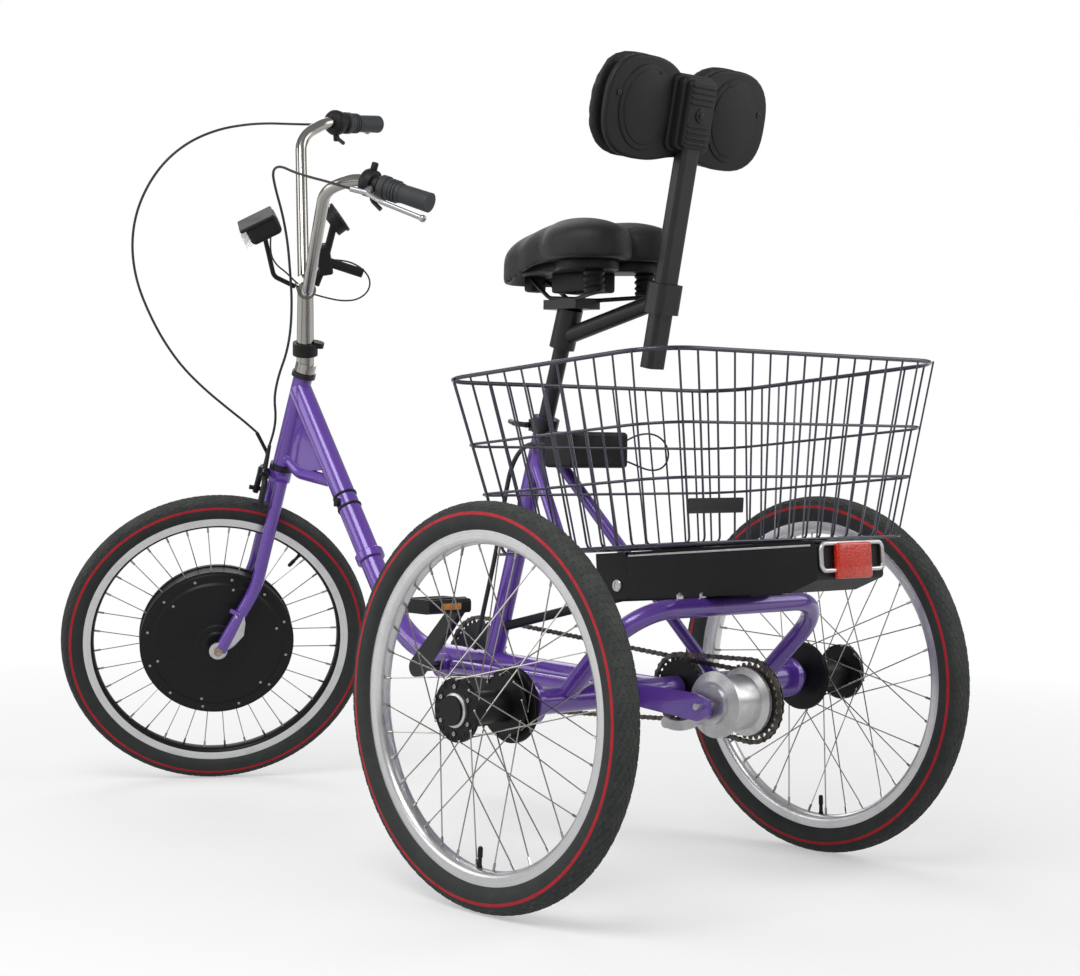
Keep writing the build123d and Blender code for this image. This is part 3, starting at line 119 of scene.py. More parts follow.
class SeatSettings(bpy.types.PropertyGroup):
    cover: colour("Cover", "Saddle and backrest cover", (0.0105, 0.010, 0.0105))
    voxel: length("Voxel", "Grid the cushions are remeshed to", 0.0052)
    pressure: FloatProperty(name="Pressure", description="Air pressure that fills the cushions", default=4.0)
    saddle_cap: length("Saddle swell", "Furthest a point of the saddle moves", 0.007)
    back_cap: length("Back swell", "Furthest a point of the back cushion moves", 0.006)


class BasketSettings(bpy.types.PropertyGroup):
    rim_wire: length("Rim wire", "Thickness of the basket's rim", 0.0068)
    ring_wire: length("Ring wire", "Thickness of the rings", 0.0044)
    upright: length("Upright", "Thickness of the uprights", 0.0034)
    paint: colour("Wire paint", "The basket's paint", (0.022, 0.021, 0.052))


class StageSettings(bpy.types.PropertyGroup):
    lens: FloatProperty(name="Lens", description="Focal length in millimetres", default=70.58)
    floor: colour("Floor", "Floor and backdrop", (0.96, 0.96, 0.965))


# ---------------------------------------------------------------- materials
class Value:
    """A socket in a finish, with ordinary sums on it."""

    def __init__(self, finish, socket):
        self.finish, self.socket = finish, socket

    def math(self, operation, a, b=None):
        return self.finish.node("Math", {"operation": operation}, {0: a} if b is None else {0: a, 1: b})

    def __add__(self, other):
        return self.math("ADD", self, other)

    def __radd__(self, other):
        return self.math("ADD", other, self)

    def __sub__(self, other):
        return self.math("SUBTRACT", self, other)

    def __rsub__(self, other):
        return self.math("SUBTRACT", other, self)

    def __mul__(self, other):
        return self.math("MULTIPLY", self, other)

    def __rmul__(self, other):
        return self.math("MULTIPLY", other, self)

    def __pow__(self, other):
        return self.math("POWER", self, other)

    def __gt__(self, other):
        return self.math("GREATER_THAN", self, other)

    def wave(self):
        return self.math("SINE", self)

    def size(self):
        return self.math("ABSOLUTE", self)

    def held(self):
        """Kept between 0 and 1."""
        return self.finish.node("Clamp", {}, {"Value": self})


class Finish:
    """One material and the tools to fill it."""

    def __init__(self, name, **sockets):
        self.material = bpy.data.materials.new(name)
        self.material.use_nodes = True
        self.tree = self.material.node_tree
        self.shader = self.tree.nodes["Principled BSDF"]
        self.set(**sockets)
        self.spot = self.node("TexCoord", {}, {}, "Object")

    def set(self, **sockets):
        for key, value in sockets.items():
            socket = self.shader.inputs[key.replace("_", " ").title().replace("Ior", "IOR")]
            if isinstance(value, Value):
                self.tree.links.new(value.socket, socket)
            elif isinstance(value, tuple) and len(value) == 3:
                socket.default_value = (*value, 1)
            else:
                socket.default_value = value
        return self

    def node(self, kind, choices, sockets, output=0):
        """Adds one node: its choices are set first, then its sockets are filled or joined."""
        name = kind if kind.startswith("Shader") else "ShaderNode" + kind
        made = self.tree.nodes.new(name)
        for key, value in choices.items():
            if key == "stops":
                for n, (where, shade) in enumerate(value):
                    stop = made.color_ramp.elements[n] if n < 2 else made.color_ramp.elements.new(where)
                    stop.position, stop.color = where, (shade, shade, shade, 1)
            else:
                setattr(made, key, value)
        for key, value in sockets.items():
            socket = made.inputs[key]
            if isinstance(value, Value):
                self.tree.links.new(value.socket, socket)
            elif isinstance(value, tuple) and len(value) == 3 and socket.type == "RGBA":
                socket.default_value = (*value, 1)
            else:
                socket.default_value = value
        return Value(self, made.outputs[output])

    def noise(self, scale, detail=3, rough=0.5, where=None):
        sockets = {"Vector": where or self.spot, "Scale": scale, "Detail": detail, "Roughness": rough}
        return self.node("TexNoise", {}, sockets)

    def cells(self, scale, feature="F1", where=None):
        return self.node("TexVoronoi", {"feature": feature}, {"Vector": where or self.spot, "Scale": scale})

    def ramp(self, value, *stops):
        return self.node("ValToRGB", {"stops": stops}, {"Fac": value})

    def mix(self, share, first, second):
        return self.node("Mix", {"data_type": "RGBA"}, {0: share, 6: first, 7: second}, 2)

    def bump(self, height, strength, distance=0.0005):
        sockets = {"Height": height, "Strength": strength, "Distance": distance}
        return self.set(normal=self.node("Bump", {}, sockets))

    def about(self, matrix):
        """The place as seen from a turned and moved centre."""
        sockets = {"Vector": self.spot, "Location": matrix.to_translation(), "Rotation": matrix.to_euler()}
        return self.node("Mapping", {"vector_type": "TEXTURE"}, sockets)

    def axis(self, where, name):
        return self.node("SeparateXYZ", {}, {"Vector": where}, name)

    def radius(self, where):
        y, z = self.axis(where, "Y"), self.axis(where, "Z")
        return (y * y + z * z) ** 0.5

    def rings(self, where, scale, detail):
        """Noise that changes only with the distance from the axle."""
        sockets = {"W": self.radius(where), "Scale": scale, "Detail": detail}
        return self.node("TexNoise", {"noise_dimensions": "1D"}, sockets)


MADE = {}


def finish(maker):
    """Makes a finish the first time it is asked for."""

    def asked(*key):
        name = "_".join([maker.__name__, *[k for k in key if isinstance(k, str)]])
        if name not in MADE:
            MADE[name] = maker(name, *[k for k in key if not isinstance(k, str)]).material
        return MADE[name]

    return asked


@finish
def frame_paint(name):
    f = Finish(name, coat_roughness=0.05, coat_ior=1.5)
    base = tuple(bpy.context.scene.tricycle_body.paint)
    deep = tuple(0.72 * c for c in base)
    cloud = f.noise(9, 4)
    flake = f.cells(2600)
    scuff = f.ramp(f.noise(46, 6, 0.7), (0.60, 0), (0.76, 1))
    dust = f.ramp(f.noise(5, 5, 0.6), (0.45, 0), (0.85, 1))
    tone = f.mix(cloud, deep, base)
    tone = f.mix(flake * 0.16, tone, (0.36, 0.20, 0.82))
    tone = f.mix(dust * 0.07, tone, (0.50, 0.46, 0.55))
    f.set(base_color=tone, roughness=0.27 + scuff * 0.16 + dust * 0.06, metallic=0.08 + flake * 0.06)
    f.set(coat_weight=0.85 - scuff * 0.35)
    return f.bump(f.noise(190, 2) * 0.7 + f.noise(34, 2) * 0.6, 0.10, 0.0004)


@finish
def black_paint(name):
    f = Finish(name, coat_roughness=0.2, specular_ior_level=0.32)
    grain = f.noise(900, 2)
    wear = f.ramp(f.noise(38, 6, 0.75), (0.63, 0), (0.78, 1))
    tone = f.mix(f.noise(14, 3), (0.006, 0.006, 0.008), (0.016, 0.016, 0.019))
    f.set(base_color=f.mix(wear * 0.25, tone, (0.06, 0.06, 0.064)))
    f.set(roughness=0.40 + grain * 0.10 - wear * 0.08, coat_weight=0.16 + wear * 0.05)
    return f.bump(grain + f.noise(120, 2) * 0.5, 0.12, 0.0003)


@finish
def wire_paint(name):
    f = Finish(name, coat_roughness=0.12)
    base = tuple(bpy.context.scene.tricycle_basket.paint)
    tone = f.mix(f.noise(22, 4), tuple(0.6 * c for c in base), base)
    thin = f.ramp(f.noise(90, 5, 0.7), (0.62, 0), (0.74, 1))
    f.set(base_color=f.mix(thin * 0.4, tone, (0.11, 0.11, 0.15)), roughness=0.34 + f.noise(300, 2) * 0.16)
    f.set(coat_weight=0.5 - thin * 0.2)
    return f.bump(f.noise(420, 3), 0.15, 0.0003)


@finish
def bright_steel(name):
    f = Finish(name, metallic=1.0)
    haze = f.noise(60, 5, 0.6)
    pits = f.ramp(f.cells(420), (0.02, 1), (0.10, 0))
    tone = f.mix(f.noise(7, 3), (0.33, 0.315, 0.285), (0.46, 0.445, 0.42))
    f.set(base_color=f.mix(pits * 0.5, tone, (0.22, 0.17, 0.12)), roughness=0.10 + haze * 0.12 + pits * 0.3)
    return f.bump(f.noise(260, 2) - pits * 0.5, 0.05, 0.0003)


@finish
def cast_alloy(name):
    f = Finish(name)
    stain = f.ramp(f.noise(30, 6, 0.65), (0.48, 0), (0.80, 1))
    tone = f.mix(f.noise(80, 3), (0.56, 0.56, 0.57), (0.70, 0.70, 0.71))
    f.set(base_color=f.mix(stain * 0.5, tone, (0.34, 0.33, 0.31)), metallic=0.9 - stain * 0.25)
    f.set(roughness=0.30 + stain * 0.22 + f.noise(500, 2) * 0.08)
    return f.bump(f.noise(520, 3) + stain * 0.3, 0.10, 0.0003)


@finish
def turned_alloy(name, matrix, low, high):
    """Machined metal with fine rings around an axle."""
    f = Finish(name)
    spot = f.about(matrix)
    rings = f.rings(spot, 2600.0, 3.0)
    wide = f.rings(spot, 240.0, 2.0)
    stain = f.ramp(f.noise(26, 6, 0.7), (0.50, 0), (0.78, 1))
    tone = f.mix(wide, low, high)
    f.set(base_color=f.mix(stain * 0.35, tone, tuple(0.55 * c for c in high)), metallic=0.92 - stain * 0.2)
    f.set(roughness=0.22 + rings * 0.14 + stain * 0.16)
    return f.bump(rings + wide * 0.4, 0.12, 0.0002)


@finish
def black_alloy(name, matrix):
    """Black painted cast metal, faintly turned around its axle."""
    f = Finish(name, coat_roughness=0.25, specular_ior_level=0.3)
    spot = f.about(matrix)
    rings = f.rings(spot, 900.0, 2.0)
    grain = f.noise(700, 3)
    dust = f.ramp(f.noise(24, 5, 0.6), (0.46, 0), (0.85, 1))
    tone = f.mix(f.noise(12, 3), (0.004, 0.004, 0.005), (0.010, 0.010, 0.012))
    f.set(base_color=f.mix(dust * 0.10, tone, (0.06, 0.057, 0.054)), metallic=0.25 + rings * 0.1)
    f.set(roughness=0.40 + grain * 0.12 + dust * 0.12, coat_weight=0.10 - dust * 0.05)
    return f.bump(grain + rings * 0.6, 0.12, 0.0003)


@finish
def dark_steel(name):
    f = Finish(name)
    oil = f.ramp(f.noise(70, 5, 0.7), (0.35, 0), (0.75, 1))
    tone = f.mix(oil, (0.16, 0.145, 0.125), (0.035, 0.030, 0.027))
    f.set(base_color=tone, metallic=0.85 - oil * 0.3, roughness=0.32 + f.noise(400, 2) * 0.2)
    return f.bump(f.noise(600, 3), 0.2, 0.0003)


@finish
def tyre_rubber(name, matrix):
    f = Finish(name, specular_ior_level=0.35)
    base = tuple(bpy.context.scene.tricycle_wheels.rubber)
    spot = f.about(matrix)
    out = f.radius(spot)
    worn = f.ramp(out, (0.2935, 0), (0.3025, 1))
    dust = f.ramp(f.noise(30, 6, 0.7, spot), (0.42, 0), (0.78, 1))
    tone = f.mix(f.noise(8, 3), tuple(0.75 * c for c in base), base)
    tone = f.mix(worn * (0.25 + dust * 0.45), tone, (0.105, 0.112, 0.102))
    tone = f.mix(dust * 0.16, tone, (0.10, 0.105, 0.095))
    f.set(base_color=tone, roughness=0.58 + f.noise(200, 2) * 0.16 + worn * 0.12)
    return f.bump(f.noise(900, 3) * 0.6 + f.noise(150, 3) * 0.5, 0.22, 0.0003)


@finish
def stripe_rubber(name):
    f = Finish(name, specular_ior_level=0.3)
    base = tuple(bpy.context.scene.tricycle_wheels.stripe)
    grime = f.ramp(f.noise(60, 6, 0.7), (0.45, 0), (0.80, 1))
    f.set(base_color=f.mix(grime * 0.5, base, tuple(0.35 * c for c in base)), roughness=0.5 + grime * 0.25)
    return f.bump(f.noise(700, 3), 0.15, 0.0002)


@finish
def grip_rubber(name, base):
    f = Finish(name, specular_ior_level=0.4)
    shine = f.ramp(f.noise(40, 4, 0.6), (0.4, 0), (0.8, 1))
    tone = f.mix(f.noise(25, 4), tuple(0.78 * c for c in base), base)
    f.set(base_color=f.mix(shine * 0.2, tone, tuple(1.7 * c for c in base)), roughness=0.62 - shine * 0.14)
    return f.bump(f.cells(1500) * 0.8 + f.noise(300, 3) * 0.3, 0.25, 0.0003)


@finish
def vinyl(name):
    """Soft black cover with a fine leather grain, rubbed smoother where it is sat on."""
    f = Finish(name, sheen_weight=0.05, sheen_roughness=0.4, specular_ior_level=0.34)
    base = tuple(bpy.context.scene.tricycle_seat.cover)
    pores = f.cells(760, "DISTANCE_TO_EDGE")
    fold = f.noise(60, 5, 0.6)
    rubbed = f.ramp(f.noise(7, 3), (0.42, 0), (0.68, 1))
    tone = f.mix(fold, tuple(0.7 * c for c in base), tuple(1.5 * c for c in base))
    f.set(base_color=f.mix(rubbed * 0.25, tone, (0.026, 0.025, 0.025)))
    f.set(roughness=0.50 - rubbed * 0.10 + fold * 0.08)
    return f.bump(f.ramp(pores, (0.0, 0), (0.28, 1)) * 0.8 + f.noise(420, 3) * 0.35, 0.34, 0.0005)


@finish
def moulded(name, base):
    """Moulded plastic with a spark-eroded texture."""
    f = Finish(name, specular_ior_level=0.28)
    grain = f.noise(1100, 3, 0.6)
    dust = f.ramp(f.noise(18, 5, 0.6), (0.50, 0), (0.85, 1))
    tone = f.mix(f.noise(30, 3), tuple(0.45 * c for c in base), tuple(0.75 * c for c in base))
    f.set(base_color=f.mix(dust * 0.10, tone, tuple(1.8 * c for c in base)))
    f.set(roughness=0.42 + grain * 0.16 + dust * 0.1)
    return f.bump(grain, 0.24, 0.0003)


@finish
def clear_lens(name):
    f = Finish(name, transmission_weight=0.55, ior=1.46)
    ribs = (f.axis(f.spot, "X") * 900).wave() * 0.5 + 0.5
    haze = f.noise(50, 4)
    f.set(base_color=f.mix(haze, (0.80, 0.83, 0.86), (0.95, 0.96, 0.97)), roughness=0.08 + haze * 0.10)
    return f.bump(ribs, 0.25, 0.0006)


@finish
def reflector(name, base):
    """A plate of tiny prisms under a smooth skin."""
    # emission_strength gives the plate a painted glow, though it is no lamp
    f = Finish(name, coat_weight=0.5, coat_roughness=0.08, emission_strength=0.16)
    prisms = f.cells(330, "F1")
    facet = f.ramp(prisms, (0.05, 1), (0.75, 0))
    tone = f.mix(facet, tuple(0.45 * c for c in base), base)
    tone = f.mix(f.ramp(f.noise(90, 3), (0.55, 0), (0.8, 1)) * 0.08, tone, (0.95, 0.42, 0.36))
    f.set(base_color=tone, emission_color=tone, roughness=0.22 + prisms * 0.2)
    return f.bump(facet, 0.5, 0.0006)


@finish
def bronze(name):
    f = Finish(name)
    age = f.ramp(f.noise(120, 5, 0.7), (0.4, 0), (0.8, 1))
    f.set(base_color=f.mix(age, (0.50, 0.36, 0.20), (0.20, 0.14, 0.08)), metallic=0.9 - age * 0.3)
    f.set(roughness=0.32 + age * 0.3)
    return f.bump(f.noise(600, 3), 0.2, 0.0002)


@finish
def cable_skin(name):
    f = Finish(name, specular_ior_level=0.5)
    tone = f.mix(f.noise(60, 4), (0.010, 0.010, 0.011), (0.030, 0.030, 0.032))
    f.set(base_color=tone, roughness=0.34 + f.noise(160, 3) * 0.2)
    return f.bump(f.noise(800, 3), 0.12, 0.0002)


@finish
def lever_finish(name):
    """Black moulded perches with bare metal levers ahead of them."""
    f = Finish(name)
    spot = f.about(PARKED)
    clamp = place(*LEVER_CLAMP, 0)
    across, along = LEVER_AHEAD
    ahead = (f.axis(spot, "X").size() - clamp.x) * across + (f.axis(spot, "Y") - clamp.y) * along
    lever = ahead > 0.021
    grain = f.noise(700, 3)
    f.set(base_color=f.mix(lever, (0.010, 0.010, 0.011), (0.42, 0.42, 0.43)), metallic=lever * 0.9)
    f.set(roughness=0.46 - lever * 0.14 + grain * 0.1)
    return f.bump(grain, 0.15, 0.0003)


def black_plastic():
    return moulded("black", (0.016, 0.016, 0.018))


def red_reflector():
    return reflector("red", (0.85, 0.035, 0.012))


def painted_frame():
    """The finish of each packed piece."""
    looks = [
        (frame_paint(), "main_frame rear_hoop fork"),
        (black_paint(), "headset seat_post seat_collar saddle_clamp backrest_post crankset front_brake"),
        (black_paint(), "front_tyre left_tyre right_tyre"),
        (bright_steel(), "stem handlebar front_spokes left_spokes right_spokes"),
        (cast_alloy(), "gear_hub front_rim left_rim right_rim"),
        (dark_steel(), "hub_cogs chains"),
        (black_plastic(), "rack battery controller headlight display saddle_base backrest_shell"),
        (black_plastic(), "left_pedal right_pedal"),
        (clear_lens(), "headlight_lens"),
        (red_reflector(), "tail_reflector"),
        (lever_finish(), "brake_levers"),
        (grip_rubber("grey", (0.045, 0.048, 0.052)), "grips"),
        (wire_paint(), "wire_basket"),
        (vinyl(), "saddle backrest_pad"),
        (black_alloy("left", WHEELS["left"]), "left_hub"),
        (black_alloy("right", WHEELS["right"]), "right_hub"),
        (black_alloy("front", WHEELS["front"]), "front_motor"),
    ]
    return {node: material for material, nodes in looks for node in nodes.split()}


# ---------------------------------------------------------------- modelling by hand
def clear():
    """Leaves edit mode with nothing selected."""
    if bpy.context.object and bpy.context.object.mode != "OBJECT":
        bpy.ops.object.mode_set(mode="OBJECT")
    bpy.ops.object.select_all(action="DESELECT")


def hold(*things):
    """Selects these pieces, with the first one active."""
    clear()
    for thing in things:
        thing.select_set(True)
    bpy.context.view_layer.objects.active = things[0]
    return things[0]


class Editing:
    """Edit mode on one piece, with everything selected."""

    def __init__(self, thing):
        self.thing = thing

    def __enter__(self):
        hold(self.thing)
        bpy.ops.object.mode_set(mode="EDIT")
        bpy.ops.mesh.select_all(action="SELECT")
        return self.thing

    def __exit__(self, *_):
        bpy.ops.object.mode_set(mode="OBJECT")


def pick(kind, test):
    """Selects the faces, edges or corners whose middle and normal pass the test."""
    bpy.ops.mesh.select_mode(type=kind)
    bpy.ops.mesh.select_all(action="DESELECT")
    data = bpy.context.edit_object.data
    mesh = bmesh.from_edit_mesh(data)
    mesh.normal_update()
    if kind == "FACE":
        found = [f for f in mesh.faces if test(f.calc_center_median(), f.normal)]
    elif kind == "EDGE":
        ends = [(e, e.verts[0].co, e.verts[1].co) for e in mesh.edges]
        found = [e for e, start, end in ends if test((start + end) / 2, end - start)]
    else:
        found = [v for v in mesh.verts if test(v.co, v.normal)]
    for item in found:
        item.select_set(True)
    bmesh.update_edit_mesh(data)
    return len(found)


def tidy():
    """Merges doubles and turns every face outwards, in edit mode."""
    bpy.ops.mesh.select_mode(type="VERT")
    bpy.ops.mesh.select_all(action="SELECT")
    bpy.ops.mesh.remove_doubles(threshold=0.000002)
    bpy.ops.mesh.normals_make_consistent(inside=False)


def turned(outline, steps=96):
    """A closed or axis-to-axis outline of (x, radius) in millimetres, turned around the X axis."""
    clear()
    bpy.ops.mesh.primitive_circle_add(vertices=len(outline), radius=0.01)
    thing = bpy.context.object
    for corner, (x, r) in zip(thing.data.vertices, outline):
        corner.co = (x / 1000, 0, r / 1000)
    with Editing(thing):
        if outline[0][1] == 0 and outline[-1][1] == 0:
            pick("EDGE", lambda m, d: abs(m.z) < 1e-7 and d.length > 1e-7)
            bpy.ops.mesh.delete(type="EDGE")
            bpy.ops.mesh.select_mode(type="VERT")
            bpy.ops.mesh.select_all(action="SELECT")
        bpy.ops.mesh.spin(steps=steps, angle=math.tau, center=(0, 0, 0), axis=(1, 0, 0))
        tidy()
    return thing


def mirrored(half):
    """An outline from its +X half, given from the rim inwards, over to the other side."""
    return half + [(-x, r) for x, r in reversed(half)]


def plate(outline, thick, bevel=0.0, segments=2):
    """A plate cut to an outline of (x, y) in millimetres, thick along Z and centred on it."""
    clear()
    bpy.ops.mesh.primitive_circle_add(vertices=len(outline), radius=0.01, fill_type="NGON")
    thing = bpy.context.object
    for corner, (x, y) in zip(thing.data.vertices, outline):
        corner.co = (x / 1000, y / 1000, -thick / 2000)
    with Editing(thing):
        bpy.ops.mesh.extrude_region_move(TRANSFORM_OT_translate={"value": (0, 0, thick / 1000)})
        tidy()
        if bevel:
            pick("EDGE", lambda m, d: abs(d.z) < 1e-7)
            bpy.ops.mesh.bevel(offset=bevel / 1000, segments=segments, affect="EDGES")
            tidy()
    return thing


def block(size, bevel=1.0, segments=2, cuts=0):
    """A box with rounded edges, sizes in millimetres."""
    clear()
    bpy.ops.mesh.primitive_cube_add(size=1, scale=[s / 1000 for s in size])
    thing = bpy.context.object
    bpy.ops.object.transform_apply(location=False, rotation=False, scale=True)
    with Editing(thing):
        if cuts:
            bpy.ops.mesh.subdivide(number_cuts=cuts)
        pick("EDGE", lambda m, d: sum(abs(abs(m[i]) - size[i] / 2000) < 1e-6 for i in range(3)) == 2)
        bpy.ops.mesh.bevel(offset=bevel / 1000, segments=segments, affect="EDGES")
        tidy()
    return thing


def rounded(w, h, r, steps=6):
    """The outline of a rectangle with round corners."""
    out = []
    for right, top, start in ((1, 1, 0), (-1, 1, 90), (-1, -1, 180), (1, -1, 270)):
        for n in range(steps + 1):
            t = math.radians(start + 90 * n / steps)
            out.append((right * (w / 2 - r) + r * math.cos(t), top * (h / 2 - r) + r * math.sin(t)))
    return out


def oval(cx, cy, rx, ry, steps=56):
    """The outline of an oval."""
    turns = [math.tau * n / steps for n in range(steps)]
    return [(cx + rx * math.cos(t), cy + ry * math.sin(t)) for t in turns]


def bolt(radius, height, sides=12, socket=True):
    """A screw head standing up along Z, with a recess in its top."""
    clear()
    middle = (0, 0, height / 2000)
    bpy.ops.mesh.primitive_cylinder_add(
        vertices=sides, radius=radius / 1000, depth=height / 1000, location=middle
    )
    thing = bpy.context.object
    bpy.ops.object.transform_apply(location=True, rotation=False, scale=False)
    with Editing(thing):
        pick("EDGE", lambda m, d: m.z > height / 1000 - 1e-6 and abs(d.z) < 1e-7)
        bpy.ops.mesh.bevel(offset=radius / 8000, segments=2, affect="EDGES")
        if socket:
            pick("FACE", lambda m, n: n.z > 0.99 and m.z > height / 1000 - 1e-6)
            bpy.ops.mesh.inset(thickness=radius / 2400)
            bpy.ops.mesh.extrude_region_move(TRANSFORM_OT_translate={"value": (0, 0, -height / 2200)})
        tidy()
    return thing


def aim(point, direction, turn=0.0):
    """A matrix that stands a piece's Z axis along a direction at a point."""
    rotation = Vector(direction).normalized().to_track_quat("Z", "Y").to_matrix().to_4x4()
    return Matrix.Translation(Vector(point)) @ rotation @ Matrix.Rotation(turn, 4, "Z")


def along_x(point, direction):
    """A matrix that lays a turned piece's axis along a direction at a point."""
    return Matrix.Translation(point) @ Vector(direction).to_track_quat("X", "Z").to_matrix().to_4x4()


def circle_of(x, radius, count, shift):
    """Points around the X axis, in metres, from sizes in millimetres."""
    for n in range(count):
        a = math.tau * (n + shift) / count
        yield Vector((x, math.cos(a) * radius, math.sin(a) * radius)) / 1000


def put(thing, matrix):
    """Moves a finished piece to its place."""
    hold(thing)
    thing.matrix_world = matrix
    bpy.ops.object.transform_apply(location=True, rotation=True, scale=True)
    if matrix.determinant() < 0:
        with Editing(thing):
            tidy()
    return thing


def repeat(thing, matrices):
    """Copies a piece to each place, each copy with its own mesh, and joins them."""
    copies = []
    for matrix in matrices:
        hold(thing)
        bpy.ops.object.duplicate(linked=False)
        copies.append(put(bpy.context.object, matrix))
    bpy.data.objects.remove(thing)
    return joined(*copies)


def joined(*things):
    """Joins pieces into one."""
    hold(*things)
    if len(things) > 1:
        bpy.ops.object.join()
    return bpy.context.object


def wire(runs, radius, closed=False, sides=2, order=2, steps=1):
    """Round wire along one or more runs of points in metres, as one mesh."""
    clear()
    bpy.ops.curve.primitive_nurbs_path_add(location=(0, 0, 0))
    thing = bpy.context.object
    data = thing.data
    data.splines.clear()
    for points in runs:
        spline = data.splines.new("NURBS" if order > 2 else "POLY")
        spline.points.add(len(points) - 1)
        for knot, point in zip(spline.points, points):
            knot.co = (*point, 1)
        spline.use_cyclic_u = closed
        if order > 2:
            spline.order_u = order
            spline.use_endpoint_u = not closed
            spline.resolution_u = steps
    data.bevel_depth = radius / 1000
    data.bevel_resolution = sides
    data.use_fill_caps = not closed
    bpy.ops.object.convert(target="MESH")
    thing = bpy.context.object
    with Editing(thing):
        tidy()
    return thing


def bent(points, radius, steps=5):
    """Points along straight runs whose corners are rounded, all in metres."""
    points = [Vector(p) for p in points]
    out = [points[0]]
    for before, corner, after in zip(points, points[1:], points[2:]):
        a, b = (before - corner).normalized(), (after - corner).normalized()
        half = a.angle(b) / 2
        if half > math.radians(89):
            out.append(corner)
            continue
        room = 0.49 * min((before - corner).length, (after - corner).length)
        cut_off = min(radius / math.tan(half), room)
        start, end = corner + a * cut_off, corner + b * cut_off
        for n in range(steps + 1):
            t = n / steps
            out.append(start * (1 - t) ** 2 + corner * 2 * t * (1 - t) + end * t * t)
    return out + [points[-1]]


def smooth(thing, levels=1):
    """Subdivides a piece's surface and applies it."""
    hold(thing)
    finer = thing.modifiers.new("finer", "SUBSURF")
    finer.levels = finer.render_levels = levels
    bpy.ops.object.modifier_apply(modifier=finer.name)
    return thing


def done(thing, name, body, *finishes, replaces=(), slot=None, angle=38, pads=None):
    """Names a piece, gives it its finish and its body, and says what it stands for."""
    hold(thing)
    bpy.ops.object.transform_apply(location=True, rotation=True, scale=True)
    bpy.ops.object.shade_smooth_by_angle(angle=math.radians(angle))
    thing.name = thing.data.name = name
    if not thing.data.materials:
        for item in finishes:
            thing.data.materials.append(item)
    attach(thing, body)
    if replaces:
        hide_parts(*replaces)
    return thing


def lofted(shape, across=48, along=32):
    """A ball whose points are moved by a function of (u, v, w, around): v runs from pole to pole."""
    clear()
    bpy.ops.mesh.primitive_uv_sphere_add(segments=across, ring_count=along, radius=1)
    thing = bpy.context.object
    for corner in thing.data.vertices:
        a, b, c = corner.co
        around = math.hypot(a, b)
        u, w = (a / around, b / around) if around > 1e-6 else (0.0, 0.0)
        corner.co = shape(u, c, w, around)
    with Editing(thing):
        tidy()
    return thing


def swell(thing, held, cap):
    """Fills a cushion with air by cloth simulation. Points that held() picks stay where they are."""
    seat = bpy.context.scene.tricycle_seat
    hold(thing)
    grid = thing.modifiers.new("grid", "REMESH")
    grid.mode, grid.voxel_size, grid.use_smooth_shade = "VOXEL", seat.voxel, True
    bpy.ops.object.modifier_apply(modifier=grid.name)
    before = [corner.co.copy() for corner in thing.data.vertices]
    fixed = thing.vertex_groups.new(name="held")
    fixed.add([c.index for c in thing.data.vertices if held(c.co)], 1.0, "ADD")
    cloth = thing.modifiers.new("cloth", "CLOTH")
    cloth.settings.quality = 6
    cloth.settings.vertex_group_mass = "held"
    cloth.settings.use_pressure = True
    cloth.settings.uniform_pressure_force = seat.pressure
    cloth.settings.effector_weights.gravity = 0
    cloth.settings.tension_stiffness = cloth.settings.compression_stiffness = 25
    cloth.point_cache.frame_start, cloth.point_cache.frame_end = 1, 20
    for step in range(1, 21):
        bpy.context.scene.frame_set(step)
    bpy.ops.object.modifier_apply(modifier=cloth.name)
    bpy.context.scene.frame_set(1)
    for corner, start in zip(thing.data.vertices, before):
        move = corner.co - start
        if move.length > cap:
            corner.co = start + move * (cap / move.length)
    thing.vertex_groups.clear()
    return smooth(thing)


# ---------------------------------------------------------------- cables
RIGHT_BRAKE = [
    (-299.3, -866.3, 1231.8), (-276, -903, 1242), (-232, -936, 1256), (-176, -968, 1272), (-128, -1012, 1285),
    (-98, -1066, 1289), (-76, -1124, 1278), (-58, -1176, 1250), (-44, -1217, 1208), (-34, -1246, 1158),
    (-27, -1261, 1101), (-22, -1262, 1040), (-18, -1250, 980), (-15, -1232, 922), (-12, -1206, 866),
    (-10, -1170, 814), (-9, -1130, 766), (-9, -1104, 736), (-9, -1086.3, 712.5),
]
LEFT_BRAKE = [
    (299.3, -866.3, 1231.8), (268, -897, 1241), (222, -928, 1245), (176, -952, 1248), (132, -973, 1254),
    (102, -986, 1240), (82, -984, 1202), (66, -977, 1148), (50, -975, 1090), (38, -978, 1034),
    (32, -982, 980), (30, -992, 922), (29, -1007, 874), (28, -1029, 832), (28, -1044, 790),
    (25, -1046, 750), (19, -1055, 716), (16, -1066.4, 692.2),
]
LAMP_WIRE = [
    (12, -1003, 1096), (12, -1009, 1069), (14, -1002, 1044), (18, -985, 1027), (20, -973, 1010),
    (20, -965.4, 1001.4),
]
DIAL_WIRE = [
    (-4, -896.2, 1032), (-8, -876, 1027), (-14, -854, 1016), (-17, -835, 998), (-15, -826, 976),
    (-10, -835, 956), (-6, -857, 946), (-3, -882, 948), (-1, -909, 957), (0, -937.6, 971),
]
CONTROLLER_LOOP = [
    (-92.4, -205, 692), (-113, -205, 701), (-138, -205, 709), (-165, -203, 711), (-190, -202, 703),
    (-206, -201, 684), (-205, -201, 664), (-190, -202, 650), (-166, -204, 647), (-141, -205, 653),
    (-117, -205, 661), (-92.4, -205, 667),
]
